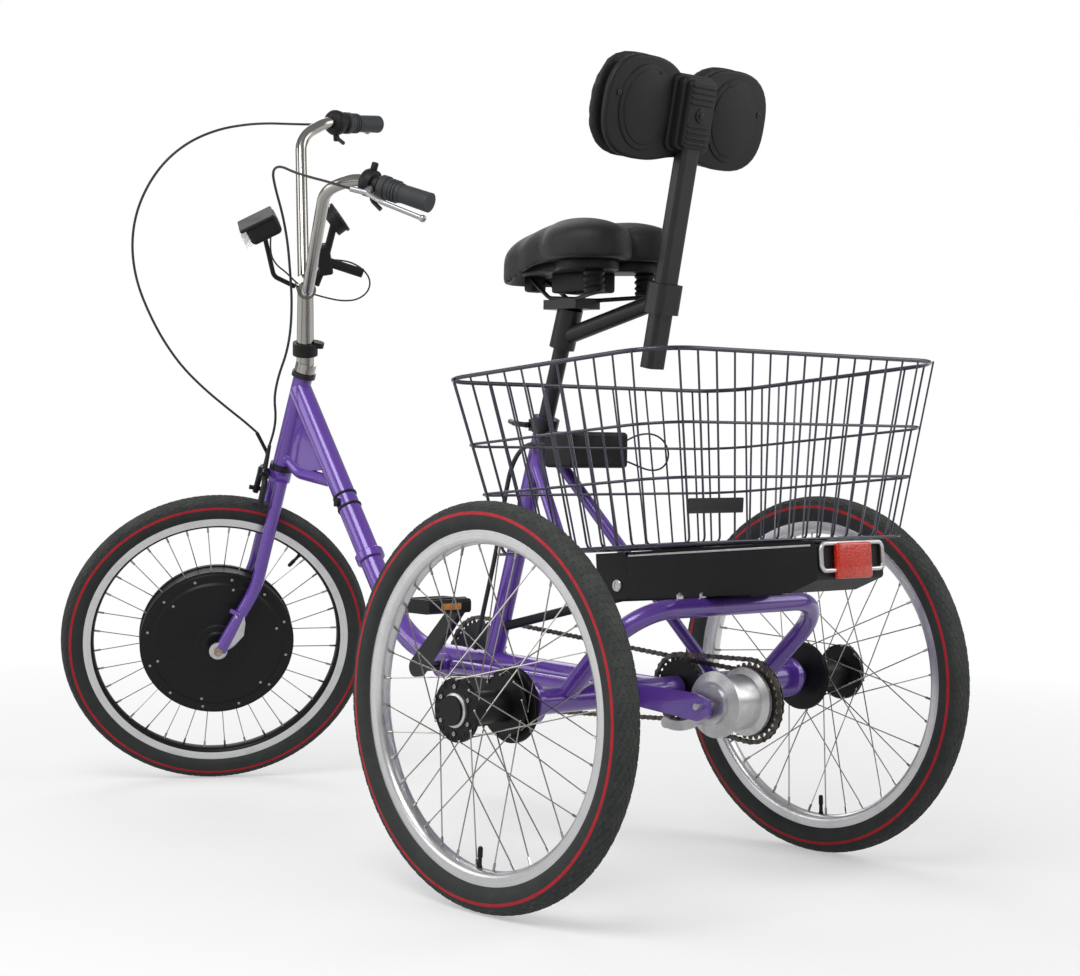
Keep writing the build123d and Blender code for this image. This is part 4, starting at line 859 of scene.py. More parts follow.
SEAT_LOOM = [
    (28, -253.4, 690), (33, -282, 693), (35, -313, 683), (32, -341, 652), (28, -359, 604), (26, -372, 552),
    (25, -387, 497), (25, -403, 443), (24, -419, 394), (19, -436, 355), (14, -449, 332),
]


def cord(name, route, thick, body, node):
    """A cable along its route, as one smooth curve with the route's points for its control points."""
    at = turned_place if body == "front_end" else place
    points = [at(*point) for point in route]
    clear()
    bpy.ops.curve.primitive_nurbs_path_add(location=(0, 0, 0))
    thing = bpy.context.object
    data = thing.data
    data.splines.clear()
    spline = data.splines.new("NURBS")
    spline.points.add(len(points) - 1)
    for knot, point in zip(spline.points, points):
        knot.co = (*point, 1)
    spline.order_u = 3
    spline.use_endpoint_u = True
    spline.resolution_u = 8
    data.bevel_depth = thick / 2
    data.bevel_resolution = 3
    data.use_fill_caps = True
    data.materials.append(cable_skin())
    thing.name = data.name = name
    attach(thing, body)
    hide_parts(node)


def cables():
    """All cords, with their thickness and length in metres."""
    for name, route, thick, body, length, stiffness, lay in (
        ("right_brake_cable", RIGHT_BRAKE, 0.0048, "front_end", 1.035, "stiff", "loose"),
        ("left_brake_cable", LEFT_BRAKE, 0.0048, "front_end", 0.809, "stiff", "loose"),
        ("lamp_wire", LAMP_WIRE, 0.0032, "front_end", 0.109, "limp", "hanging"),
        ("dial_wire", DIAL_WIRE, 0.0032, "front_end", 0.226, "medium", "hanging"),
        ("controller_loop", CONTROLLER_LOOP, 0.0032, "frame", 0.265, "medium", "loose"),
        ("seat_tube_loom", SEAT_LOOM, 0.008, "frame", 0.442, "medium", "hanging"),
    ):
        node = "steering_cables" if body == "front_end" else "frame_cables"
        cord(name, route, thick, body, node)


# ---------------------------------------------------------------- wheels
TYRE_HALF = [
    (12.0, 257.6), (13.8, 260.4), (18.6, 264.6), (22.0, 269.8), (23.6, 275.6), (24.0, 281.4), (23.85, 283.7),
    (23.2, 288.4), (22.5, 290.6), (21.2, 293.6), (18.9, 296.7), (15.2, 299.4), (10.8, 301.2), (6.0, 302.3),
    (2.0, 302.7),
]


TREAD_ROWS = [21.2, 18.9, 15.2, 10.8, 6.0, 2.0, -2.0, -6.0, -10.8, -15.2, -18.9, -21.2]  # across the tyre
TREAD_FROM = 0.2935
STRIPE_FROM, STRIPE_TO = 0.2840, 0.2882
WALL = 0.0225  # half of the width past which the stripe lies


def tyre(name, steps, depth, stripe):
    """A tyre with round shoulders, staggered tread blocks and a thin coloured line on each side."""
    thing = turned(mirrored(TYRE_HALF), steps)
    rows = list(zip(TREAD_ROWS, TREAD_ROWS[1:]))

    def block_here(middle, _):
        radius = math.hypot(middle.y, middle.z)
        if radius < TREAD_FROM:
            return False
        turn = math.degrees(math.atan2(middle.z, middle.y)) % 360
        row = next((n for n, (a, b) in enumerate(rows) if b <= middle.x * 1000 <= a), None)
        return row is not None and (int(turn / 360 * steps) + row) % 2 == 0

    with Editing(thing):
        pick("FACE", block_here)
        bpy.ops.mesh.inset(thickness=0.0011, use_individual=True)
        bpy.ops.transform.shrink_fatten(value=depth)
    thing.data.materials.append(tyre_rubber(name, WHEELS[name]))
    thing.data.materials.append(stripe)
    for face in thing.data.polygons:
        radius = math.hypot(face.center.y, face.center.z)
        face.material_index = 1 if STRIPE_FROM < radius < STRIPE_TO and abs(face.center.x) > WALL else 0
    put(thing, WHEELS[name])
    tyre = name + "_tyre"
    done(thing, tyre + "_tread", name + "_wheel", replaces=[tyre], slot="tyre_rubber", angle=30)


RIM_HALF = [
    (11.6, 256.6), (12.2, 261.6), (13.4, 262.6), (14.6, 261.9), (14.9, 258.0), (14.6, 249.2), (13.9, 246.6),
    (12.4, 243.9), (9.0, 241.4), (4.6, 239.9),
]


RIM_WELL = [(-8.4, 251.5), (-4.2, 249.8), (4.2, 249.8), (8.4, 251.5)]
BLACK_BELOW = 0.2478  # the front rim's inner part is painted


def rim(name):
    """A metal rim with hooked edges, a well and a flat brake band."""
    thing = turned(mirrored(RIM_HALF) + RIM_WELL, 144)
    if name == "front":
        thing.data.materials.append(turned_alloy(name, WHEELS[name], (0.66, 0.66, 0.67), (0.84, 0.84, 0.85)))
        thing.data.materials.append(black_alloy(name, WHEELS[name]))
        for face in thing.data.polygons:
            face.material_index = 1 if math.hypot(face.center.y, face.center.z) < BLACK_BELOW else 0
    else:
        thing.data.materials.append(turned_alloy(name, WHEELS[name], (0.60, 0.60, 0.61), (0.78, 0.78, 0.79)))
    put(thing, WHEELS[name])
    done(thing, name + "_rim_band", name + "_wheel", replaces=[name + "_rim"], slot="alloy", angle=25)


def spoke_ends(name):
    """The directions of the spokes at the rim, and the way each goes to its flange."""
    side = {"left": 1, "right": -1}.get(name, 0)
    outer, inner = (58.0 * side, -33.0 * side) if side else (14.0, -14.0)
    reach, lace, hub = ((5.0, 6.0), 60, 45.5) if side else ((0, 0), 0, 152.3)
    for i in range(36):
        flange = (outer, inner)[i % 2]
        way = 1 if (i // 2) % 2 else -1
        away = way * (1 if flange > 0 else -1)
        at_rim = math.radians(10 * (i + 0.5))
        at_hub = at_rim + math.radians(lace * way)
        x = flange + way * reach[1 if away > 0 else 0]
        foot = Vector((x, math.cos(at_hub) * hub, math.sin(at_hub) * hub)) / 1000
        head = Vector((2 if i % 2 else -2, math.cos(at_rim) * 239.4, math.sin(at_rim) * 239.4)) / 1000
        yield foot, head, way


def nipples(name):
    """The brass nipples that hold the spokes in the rim, and the spokes' heads at the flanges."""
    clear()
    bpy.ops.mesh.primitive_cylinder_add(vertices=8, radius=0.0021, depth=0.013, location=(0, 0, 0.0045))
    thing = bpy.context.object
    bpy.ops.object.transform_apply(location=True, rotation=False, scale=False)
    with Editing(thing):
        pick("FACE", lambda m, n: n.z > 0.9)
        bpy.ops.mesh.inset(thickness=0.0004)
        bpy.ops.mesh.extrude_region_move(TRANSFORM_OT_translate={"value": (0, 0, 0.001)})
    ends = list(spoke_ends(name))
    thing = repeat(thing, [WHEELS[name] @ aim(head, foot - head) for foot, head, _ in ends])
    done(thing, name + "_spoke_nipples", name + "_wheel", bright_steel(), slot="bright_steel")
    if name == "front":
        return
    clear()
    bpy.ops.mesh.primitive_uv_sphere_add(segments=10, ring_count=6, radius=0.0024)
    head = bpy.context.object
    with Editing(head):
        bpy.ops.transform.resize(value=(1, 1, 0.6))
    heads = repeat(head, [WHEELS[name] @ aim(foot, (way, 0, 0)) for foot, _, way in ends])
    done(heads, name + "_spoke_heads", name + "_wheel", bright_steel(), slot="bright_steel")


VALVE = [
    (0, 0), (0, 4.2), (3, 4.2), (5, 3.3), (14, 3.1), (16, 2.9), (16.6, 4.0), (30, 3.8), (32.6, 2.6), (33, 0),
]
VALVE_FROM = 0.2405


def valve(name, degrees):
    """The black valve stem and its ridged cap, out of the rim towards the hub."""
    stem = turned(VALVE, 16)
    turn = math.radians(degrees)
    rim_point = Vector((0, math.cos(turn), math.sin(turn))) * VALVE_FROM
    put(stem, WHEELS[name] @ along_x(rim_point, -rim_point))
    done(stem, name + "_valve", name + "_wheel", black_plastic(), slot="black_plastic")


HUB_FACE = 61.5  # of the outer flange, from the wheel's middle
HUB_CAPS = {
    "left": [
        (0, 0), (0, 25.5), (3.0, 25.5), (4.6, 23.6), (5.2, 20.4), (5.0, 17.0),
        (7.4, 15.5), (8.6, 12.0), (8.6, 0),
    ],
    "right": [(0, 0), (0, 24), (4.5, 24), (6.4, 22), (7.2, 15), (6.2, 13.6), (8.8, 12.4), (8.9, 0)],
}
DRUM_FIN = [(-0.8, 50), (-0.8, 56.2), (-0.4, 57.0), (0.4, 57.0), (0.8, 56.2), (0.8, 50)]
DRUM_EDGE, FIN_STEP = 44.5, 3.2


def rear_hub_trim(name):
    """The bearing cap, its nut, flange bolts, fins on the drum and the rims of the spoke holes."""
    side = 1 if name == "left" else -1
    wheel, body, black = WHEELS[name], name + "_wheel", black_alloy(name, WHEELS[name])
    facing = Matrix.Rotation(0 if side > 0 else math.pi, 4, "Z")
    cap = put(turned(HUB_CAPS[name], 48), wheel @ Matrix.Translation((side * HUB_FACE / 1000, 0, 0)) @ facing)
    done(cap, name + "_hub_cap", body, cast_alloy() if side > 0 else black, slot="alloy")
    spots = circle_of(side * HUB_FACE, 34.5, 6, 0.5)
    screws = repeat(bolt(3.4, 3.2), [wheel @ aim(spot, (side, 0, 0)) for spot in spots])
    done(screws, name + "_flange_bolts", body, bright_steel(), slot="bright_steel")
    fins = [turned([(x - side * (DRUM_EDGE + FIN_STEP * n), r) for x, r in DRUM_FIN], 64) for n in range(3)]
    done(put(joined(*fins), wheel), name + "_drum_fins", body, black, slot="black_alloy")
    clear()
    bpy.ops.mesh.primitive_torus_add(
        major_radius=0.0036, minor_radius=0.0009, major_segments=14, minor_segments=6
    )
    rings = [
        wheel @ aim(spot, (way, 0, 0))
        for x, way in ((side * 61.6, side), (-side * 36.8, -side))
        for spot in circle_of(x, 41.2, 18, 0.25)
    ]
    eyelets = repeat(bpy.context.object, rings)
    done(eyelets, name + "_flange_eyelets", body, black, slot="black_alloy")


MOTOR_SIDE = [
    (37.0, 0), (36.4, 16.0), (37.2, 21.0), (36.6, 27.0), (34.0, 30.0), (33.2, 41.0), (31.0, 44.0),
    (31.0, 66.0), (30.4, 92.5), (29.8, 96.0), (29.2, 116.0), (28.4, 127.0), (24.8, 131.0), (24.4, 134.0),
    (23.6, 142.6), (21.8, 146.2), (20.6, 147.6), (20.6, 152.0), (14.0, 151.9), (13.2, 149.8), (6.0, 149.6),
]
MOTOR_AXLE = [(-72, 0), (-72, 4.6), (-71.2, 5.0), (-61, 5.0), (-61, 6.0)]
MOTOR_SCREWS = [(12, 139.0, 23.9, 0.3), (6, 121.0, 28.6, 0.1)]  # how many, their circle, its x and start


def motor():
    """The hub motor's shell, with stepped covers, and two rings of screws on each side."""
    wheel, body = WHEELS["front"], "front_wheel"
    shell = put(turned(mirrored(MOTOR_SIDE), 128), wheel)
    black = black_alloy("front", wheel)
    done(shell, "motor_shell", body, black, replaces=["front_motor"], slot="black_alloy", angle=24)
    spots = [
        wheel @ aim(spot, (side, 0, 0))
        for side in (1, -1)
        for count, radius, x, shift in MOTOR_SCREWS
        for spot in circle_of(side * x, radius, count, shift)
    ]
    done(repeat(bolt(2.9, 2.2), spots), "motor_screws", body, bright_steel(), slot="bright_steel")
    axle = put(turned(mirrored(MOTOR_AXLE), 24), wheel)
    done(axle, "motor_axle", body, bright_steel(), slot="bright_steel")
    nut = plate(oval(0, 0, 9.2, 9.2, 6), 7.5, 0.8)
    nuts = repeat(nut, [wheel @ aim((side * 0.0655, 0, 0), (side, 0, 0), 0.3) for side in (1, -1)])
    done(nuts, "axle_nuts", body, bronze(), slot="alloy")


# ---------------------------------------------------------------- drive
def chain(name, x, front, front_r, back, back_r):
    """Roller chain around two sprockets; front and back are (y, z) in millimetres."""
    a, b = Vector(front), Vector(back)
    way = (b - a).normalized()
    lean = (front_r - back_r) / (b - a).length
    up = Vector((-way.y, way.x)) * math.sqrt(1 - lean * lean)
    top, low = way * lean + up, way * lean - up
    knots = []

    def arc(centre, radius, start, end):
        t0, t1 = math.atan2(start.y, start.x), math.atan2(end.y, end.x)
        while t1 > t0:
            t1 -= math.tau
        for n in range(25):
            t = t0 + (t1 - t0) * n / 24
            knots.append(centre + Vector((math.cos(t), math.sin(t))) * radius)

    arc(b, back_r, top, low)
    arc(a, front_r, low, top)
    knots.append(knots[0])
    lengths = [(q - p).length for p, q in zip(knots, knots[1:])]
    total = sum(lengths)
    count = max(8, round(total / 1000 / bpy.context.scene.tricycle_body.link_pitch))
    count += count % 2
    step = total / count

    def along(distance):
        for p, q, part in zip(knots, knots[1:], lengths):
            if distance <= part:
                return p + (q - p) * (distance / part)
            distance -= part
        return knots[-1]

    outer = link(step, 5.9, 1.0)
    inner = link(step, 3.5, 1.0)
    places = {0: [], 1: []}
    for n in range(count):
        p, q = along(n * step), along(min((n + 1) * step, total))
        mid, run = (p + q) / 2, (q - p)
        turn = Matrix.Rotation(math.atan2(run.y, run.x), 4, "X")
        places[n % 2].append(Matrix.Translation(place(x, mid.x, mid.y)) @ turn)
    links = joined(repeat(outer, places[0]), repeat(inner, places[1]))
    return done(links, name, "frame", dark_steel(), slot="dark_chain", angle=50)


def link(pitch, spread, thick):
    """One link along Y: two waisted side plates on two pins."""
    outline = []
    for centre, start in ((pitch / 2, -90), (-pitch / 2, 90)):
        for n in range(7):
            t = math.radians(start + 180 * n / 6)
            outline.append((centre + 3.9 * math.cos(t), 3.9 * math.sin(t)))
        outline.append((0, 2.7 if centre > 0 else -2.7))
    side = plate(outline, thick, 0)
    sides = repeat(side, [Matrix.Translation((s * spread / 2000, 0, 0)) @ SIDE for s in (1, -1)])
    clear()
    bpy.ops.mesh.primitive_cylinder_add(vertices=10, radius=0.0021, depth=(spread + 1.6) / 1000)
    pin = bpy.context.object
    with Editing(pin):
        pick("EDGE", lambda m, d: abs(d.z) < 1e-7)
        bpy.ops.mesh.bevel(offset=0.0003, segments=1, affect="EDGES")
    pin = put(pin, Matrix.Translation((0, pitch / 2000, 0)) @ Matrix.Rotation(math.pi / 2, 4, "Y"))
    return joined(sides, pin)


# ---------------------------------------------------------------- basket
def on_rack(x, y, z):
    """A point of the tilted rack, in metres; y and z are along and above it."""
    c, s = math.cos(TILT), math.sin(TILT)
    return place(x, y * c - z * s, 525 + y * s + z * c)


def basket_outline(depth):
    """Half width, front, rear and corner radius at a depth below the rim, in millimetres."""
    half = 332.5 - 0.205 * depth
    front, rear = -165.5 + 0.145 * depth, 320.5 - 0.176 * depth
    return half, front, rear, 78 - 0.08 * depth


BASKET_ACROSS, BASKET_ALONG = 16, 11
CORNER_X, CORNER_Y = 23.4, 31.2  # from a wall to where the uprights of the next wall start


def basket():
    """A stout rim, three rings, and uprights that run down one wall, across the floor and up the other."""
    sizes = bpy.context.scene.tricycle_basket
    deep, floor = 272.0, 4.9
    pieces = []
    rings = ((0, sizes.rim_wire), (102, sizes.ring_wire), (179, sizes.ring_wire), (deep, sizes.ring_wire))
    for depth, thick in rings:
        half, front, rear, corner = basket_outline(depth)
        mid = (front + rear) / 2
        outline = rounded(2 * half, rear - front, corner, 10)
        ring = [on_rack(x, mid + y, floor + deep - depth) for x, y in outline]
        pieces.append(wire([ring], thick * 500, closed=True, sides=2))
    half0, front0, rear0, _ = basket_outline(0)
    half1, front1, rear1, _ = basket_outline(deep)
    runs = []
    top = floor + deep
    for i in range(BASKET_ACROSS):
        t = (i + 0.5) / BASKET_ACROSS * 2 - 1
        xt, xl = t * (half0 - CORNER_X), t * (half1 - CORNER_X)
        runs.append([(xt, front0, top), (xl, front1, floor), (xl, rear1, floor), (xt, rear0, top)])
    for i in range(BASKET_ALONG):
        t = (i + 0.5) / BASKET_ALONG
        yt = front0 + CORNER_Y + t * (rear0 - front0 - 2 * CORNER_Y)
        yl = front1 + CORNER_Y + t * (rear1 - front1 - 2 * CORNER_Y)
        runs.append([(half0, yt, top), (half1, yl, floor), (-half1, yl, floor), (-half0, yt, top)])
    bends = [bent([on_rack(*point) for point in run], 0.012, 4) for run in runs]
    pieces.append(wire(bends, sizes.upright * 500, sides=1))
    thing = joined(*pieces)
    done(thing, "basket_wires", "frame", wire_paint(), replaces=["wire_basket"], slot="black_paint", angle=50)
    tag = plate(rounded(115, 22, 2), 2.0, 0.4)
    with Editing(tag):
        pick("FACE", lambda m, n: abs(n.z) > 0.99)
        bpy.ops.mesh.inset(thickness=0.0008)
        bpy.ops.transform.shrink_fatten(value=-0.0003)
    low, high = on_rack(191, rear1 + 6.2, floor + 44), on_rack(191, rear0 - 9.7, top)
    face = (high - low).normalized()
    out = Vector((1, 0, 0)).cross(face)
    stand = Matrix((Vector((1, 0, 0)), face, out)).transposed().to_4x4()
    put(tag, Matrix.Translation(low + face * 0.009 - out * 0.0042) @ stand)
    done(tag, "basket_plate", "frame", black_paint(), slot="black_paint")


# ---------------------------------------------------------------- seat
SADDLE_OVALS = [(0, -98, 74, 78), (0, -22, 100, 96), (57, 62, 70, 76)]
BACK_OVALS = [(98, 0, 86, 82), (0, -10, 110, 62)]
SADDLE_MIDDLE = -196.0
SADDLE_BUFFER = [
    (0, 0), (0, 15), (5, 17), (8, 14), (12, 17.5), (17, 14), (22, 18), (27, 14), (32, 18), (37, 14.5),
    (42, 17), (48, 15), (48, 0),
]
BACK_LOBE, BACK_SQUARE = 98, 2.6
BACK_SCREWS = [(-20, 56), (60, 16), (-16, -57)]


def reach(angle, ovals, inset=0.0, square=2.0):
    """How far an outline of blended ovals is from its middle in one direction, in millimetres."""
    low, high = 0.0, 240.0
    for _ in range(22):
        far = (low + high) / 2
        x, y = abs(far * math.cos(angle)), far * math.sin(angle)
        sums = [abs((x - cx) / rx) ** square + abs((y - cy) / ry) ** square for cx, cy, rx, ry in ovals]
        filled = sum(math.exp(8 - 8 * total ** (1 / square)) for total in sums)
        low, high = (far, high) if filled > 1 else (low, far)
    return low - inset


def saddle_point(u, v, w, around):
    """The saddle's shape before it is filled: v is up, and the nose is at w = -1."""
    edge = reach(math.atan2(w, u), SADDLE_OVALS, 4.0)
    x, y = u * around * edge, w * around * edge
    nose = max(0.0, min(1.0, (20 - y) / 150)) ** 1.3
    droop = 44 * nose
    rim = 1004 - 0.7 * droop
    if v >= 0:
        lobes = 7 * math.exp(-(((abs(x) - 62) / 46) ** 2 + ((y - 56) / 84) ** 2))
        channel = 9 * math.exp(-((x / 24) ** 2)) * max(0.0, min(1.0, (y + 20) / 70))
        crown = 1054 + lobes - channel - 10 * nose
        return place(x, SADDLE_MIDDLE + y, rim + (crown - rim) * v ** 0.46)
    skirt = max(0.0, min(1.0, (around - 0.74) / 0.22))
    low = 987 - (0.8 * droop + 9) * skirt * skirt
    return place(x, SADDLE_MIDDLE + y, rim + (low - rim) * (-v) ** 0.45)


def saddle():
    """The saddle's cushion, its moulded tray with a bumper, its two buffers and its rails."""
    seat = bpy.context.scene.tricycle_seat
    cover = lofted(saddle_point, 72, 48)
    underside = place(0, 0, 992).z
    cover = swell(cover, lambda p: p.z < underside, seat.saddle_cap)
    skin = vinyl()
    done(cover, "saddle_cushion", "frame", skin, replaces=["saddle"], slot="seat_vinyl", angle=60, pads=0.8)
    buffer = turned(SADDLE_BUFFER, 40)
    upright = Matrix.Rotation(-math.pi / 2, 4, "Y")
    pads = repeat(buffer, [Matrix.Translation(place(side * 58, -118, 936)) @ upright for side in (1, -1)])
    black = black_plastic()
    done(pads, "saddle_buffers", "frame", black, slot="black_plastic")
    tray = put(plate(ring_of(SADDLE_OVALS, 36), 18, 5, 3), Matrix.Translation(place(0, SADDLE_MIDDLE, 982)))
    bracket = put(block((64, 90, 34), 5, 3), Matrix.Translation(place(0, -204, 958)))
    bumper = put(block((34, 24, 30), 6, 3), Matrix.Translation(place(0, -322, 962)))
    tray = joined(tray, bracket, bumper)
    done(tray, "saddle_tray", "frame", black, replaces=["saddle_base"], slot="black_plastic", angle=30)
    rail = [
        (58, -96, 938), (58, -126, 934), (24, -196, 930), (22, -262, 934), (18, -304, 962), (12, -326, 976),
    ]
    rails = [bent([place(side * x, y, z) for x, y, z in rail], 0.03, 6) for side in (1, -1)]
    done(wire(rails, 3.6, sides=2), "saddle_rails", "frame", black_paint(), slot="black_paint", angle=60)


def back_frame():
    """The backrest's middle, its way up the post, and its way out to the front."""
    foot, head = place(0, -42, 815), place(0, 43, 1225)
    up = (head - foot).normalized()
    middle = foot + up * ((1.210 - foot.z) / up.z)
    out = Vector((0, -up.z, up.y))
    return middle, up, out


def back_point(u, v, w, around):
    """The two-lobed cushion: v is out to the front."""
    middle, up, out = back_frame()
    edge = reach(math.atan2(w, u), BACK_OVALS, 0.0, BACK_SQUARE)
    x, y = u * around * edge, w * around * edge
    lobe = math.exp(-(((abs(x) - 98) / 62) ** 2 + (y / 76) ** 2))
    deep = (11 + 11 * lobe) * v ** 0.55 if v > 0 else -15.5 * (-v) ** 0.45
    return middle + Vector((x / 1000, 0, 0)) + up * (y / 1000) + out * ((37 + deep) / 1000)


def ring_of(ovals, inset, square=2.0, steps=96):
    """The outline of blended ovals as (x, y) points."""
    out = []
    for n in range(steps):
        t = math.tau * n / steps
        far = reach(t, ovals, inset, square)
        out.append((far * math.cos(t), far * math.sin(t)))
    return out


def backrest():
    """The two-lobed cushion, the moulded back in steps, the ribbed spine over the post, and screws."""
    seat = bpy.context.scene.tricycle_seat
    middle, up, out = back_frame()
    cushion = lofted(back_point, 80, 40)
    back = (middle + out * 0.0245) @ out
    cushion = swell(cushion, lambda p: p @ out < back, seat.back_cap)
    done(
        cushion, "backrest_cushion", "frame", vinyl(),
        replaces=["backrest_pad"], slot="seat_vinyl", angle=60, pads=0.7,
    )
    stand = Matrix((Vector((-1, 0, 0)), up, -out)).transposed().to_4x4()

    def layer(outline, thick, bevel, depth, segments=3):
        """A layer of the moulded back, its middle at a depth ahead of the post's middle."""
        there = Matrix.Translation(middle + out * (depth / 1000)) @ stand
        return put(plate(outline, thick, bevel, segments), there)

    black = black_plastic()
    layers = [layer(ring_of(BACK_OVALS, 4.0, BACK_SQUARE), 13.0, 5.0, 15.2, 4)]
    for side in (1, -1):
        layers.append(layer(oval(side * BACK_LOBE, 0, 56, 66), 4.0, 1.6, 8.6))
        layers.append(layer(oval(side * BACK_LOBE, 0, 47, 57), 4.0, 1.6, 7.2))
    shell = joined(*layers)
    done(
        shell, "backrest_moulding", "frame", black,
        replaces=["backrest_shell"], slot="black_plastic", angle=30,
    )
    spine = [
        layer(rounded(92, 122, 14), 9.0, 3, 7.5),
        layer(rounded(76, 114, 12), 14.0, 3, -1.5),
        layer(rounded(60, 106, 9), 12.0, 3, -10.5),
    ]
    for row in (-5, -4, -3, -2, 2, 3, 4, 5):
        spine.append(layer([(x, y + row * 8.8) for x, y in rounded(50, 4.2, 1.6, 3)], 4.0, 1.0, -16.4, 2))
    spine.append(layer(oval(0, 0, 11, 11, 32), 4.0, 1.2, -16.5))
    done(joined(*spine), "backrest_spine", "frame", black, slot="black_plastic", angle=30)
    spots = [(side * (BACK_LOBE + x), y, 8.4) for side in (1, -1) for x, y in BACK_SCREWS] + [(0, 0, -18.4)]
    screws = repeat(bolt(4.4, 1.8), [
        Matrix.Translation(middle + (Vector((x, 0, 0)) + up * y + out * depth) / 1000) @ stand
        for x, y, depth in spots
    ])
    done(screws, "backrest_screws", "frame", black_paint(), slot="black_paint")


# ---------------------------------------------------------------- fittings
def collar(width, inner, outer, edge=1.5):
    """A ring around a tube, with chamfered edges."""
    half = width / 2
    return turned(mirrored([(-half, inner), (-half, outer - edge), (edge - half, outer)]), 56)


GUSSET = [(-997, 778), (-1041, 662), (-990, 628), (-880, 636)]  # y and z of its corners
TUBE_SLOPE = (0, 0.581, -0.8137)
TIES = [(-845.4, 585.8), (-830.4, 564.8)]


def frame_fittings():
    """The head tube's gusset, the main tube's collar and ties, the housing's flanges and the hoop's bolts."""
    gusset = plate(GUSSET, 12, 2)
    pieces = [put(gusset, Matrix.Translation(place(0, 0, 0)) @ SIDE)]
    pieces.append(put(collar(17, 20, 27), along_x(place(0, -767, 476), TUBE_SLOPE)))
    for side in (1, -1):
        pieces.append(put(collar(13, 20, 33), Matrix.Translation(place(side * 293, 0, 304))))
    done(joined(*pieces), "frame_gusset", "frame", frame_paint(), slot="frame_purple")
    ties = [put(collar(5, 20, 23.4, 1), along_x(place(0, y, z), TUBE_SLOPE)) for y, z in TIES]
    ties.append(put(block((9, 12, 16), 2), Matrix.Translation(place(24, -838, 575))))
    done(joined(*ties), "frame_ties", "frame", black_plastic(), slot="black_plastic")
    spots = [aim(place(x, 143, 465), (0, 1, 0)) for x in (123, 73, -73, -123)]
    bolts = repeat(bolt(6.2, 4.2, 6, False), spots)
    done(bolts, "hoop_bolts", "frame", cast_alloy(), slot="alloy")


def battery_fittings():
    """The battery's key lock, its bright edge strip and the red plate at its back."""
    tilt = Matrix.Rotation(TILT, 4, "X")
    lock = turned([(0, 0), (0, 9.5), (2.4, 9.5), (3.2, 8.6), (3.2, 6.2), (1.8, 5.6), (1.8, 0)], 32)
    pieces = [put(lock, Matrix.Translation(on_rack(75, -42, -52)))]
    # A thin bright strip along the battery's top edge: a painted highlight where the top face catches the
    # light
    pieces.append(put(block((2.0, 372, 3.0), 0.6), Matrix.Translation(on_rack(75.4, 172, -6)) @ tilt))
    done(joined(*pieces), "battery_lock_and_highlight_strip", "frame", cast_alloy(), slot="alloy")
    lens = put(block((78, 11, 53), 4, 3), Matrix.Translation(on_rack(0, 373.3, -30)) @ tilt)
    # The red plate glows faintly: painted light, since it is no lamp
    red = red_reflector()
    done(lens, "tail_lens", "frame", red, replaces=["tail_reflector"], slot="reflector_red")
    loop = [on_rack(x, 371.8, z - 24) for x, z in rounded(139, 39, 9)]
    done(wire([loop], 3.4, closed=True), "tail_guard", "frame", cast_alloy(), slot="alloy", angle=60)


SHIFTER_DRUM = [(-12, 0), (-12, 20), (-10, 23.4), (-3, 25), (4, 25), (10, 22), (12, 18), (12, 0)]
KNOB_AWAY = 0.027  # of each thumb knob, up on the left and down on the right


def bar_fittings():
    """Round shifters with thumb knobs inside the grips."""
    pieces = []
    for side in (1, -1):
        x, y, z = SHIFTER
        dx, dy, dz = BAR_WAY
        middle = turned_place(side * x, y, z)
        way = (turned_place(side * (x + dx), y + dy, z + dz) - middle).normalized()
        pieces.append(put(turned(SHIFTER_DRUM, 40), along_x(middle, way)))
        rise = way.cross(Vector((0, 0, 1))).cross(way).normalized()
        pieces.append(put(block((12, 9, 20), 3.4, 3), along_x(middle + rise * (side * KNOB_AWAY), way)))
    done(joined(*pieces), "bar_shifters", "front_end", black_plastic(), slot="black_plastic")


ARM_LINE = [(0, 0), (28, 13), (47, 28), (53, 50), (53, 72)]  # y and z from the axle
ARM_HALF = 9
ARM_X = 59


def torque_arm():
    """The bright arm from the motor's axle to the fork blade."""
    axle = PARKED.inverted() @ Vector(JOINTS["front_wheel_spin"]["pos_m"])
    y0, z0 = (axle.y - REAR_Y) * 1000, axle.z * 1000
    left, right = [], []
    for n, (y, z) in enumerate(ARM_LINE):
        before, after = ARM_LINE[max(0, n - 1)], ARM_LINE[min(len(ARM_LINE) - 1, n + 1)]
        run = (Vector(after) - Vector(before)).normalized() * ARM_HALF
        left.append((y0 + y - run.y, z0 + z + run.x))
        right.append((y0 + y + run.y, z0 + z - run.x))
    at = PARKED @ Matrix.Translation(place(ARM_X, 0, 0)) @ SIDE
    pieces = [put(plate(left + right[::-1], 5.4, 1.2), at), put(plate(oval(y0, z0, 18, 18), 5.8, 1.2), at)]
    done(joined(*pieces), "torque_arm", "front_end", cast_alloy(), slot="alloy")


def pedal_reflectors():
    """Amber plates in the ends of each pedal."""
    for name in ("left_pedal", "right_pedal"):
        corners = [Vector(c) for c in frame["nodes"][name].bound_box]
        low = Vector([min(c[i] for c in corners) for i in range(3)])
        high = Vector([max(c[i] for c in corners) for i in range(3)])
        mid = (low + high) / 2
        ends = [Matrix.Translation((mid.x, y, mid.z)) for y in (low.y + 0.0012, high.y - 0.0012)]
        bars = repeat(block((44, 3.4, 11), 1, 2), ends)
        done(bars, name + "_reflectors", name, reflector("amber", (0.80, 0.30, 0.02)), slot="reflector_red")


def fittings():
    """Small parts that the packed pieces don't hold."""
    frame_fittings()
    battery_fittings()
    bar_fittings()
    torque_arm()
    pedal_reflectors()


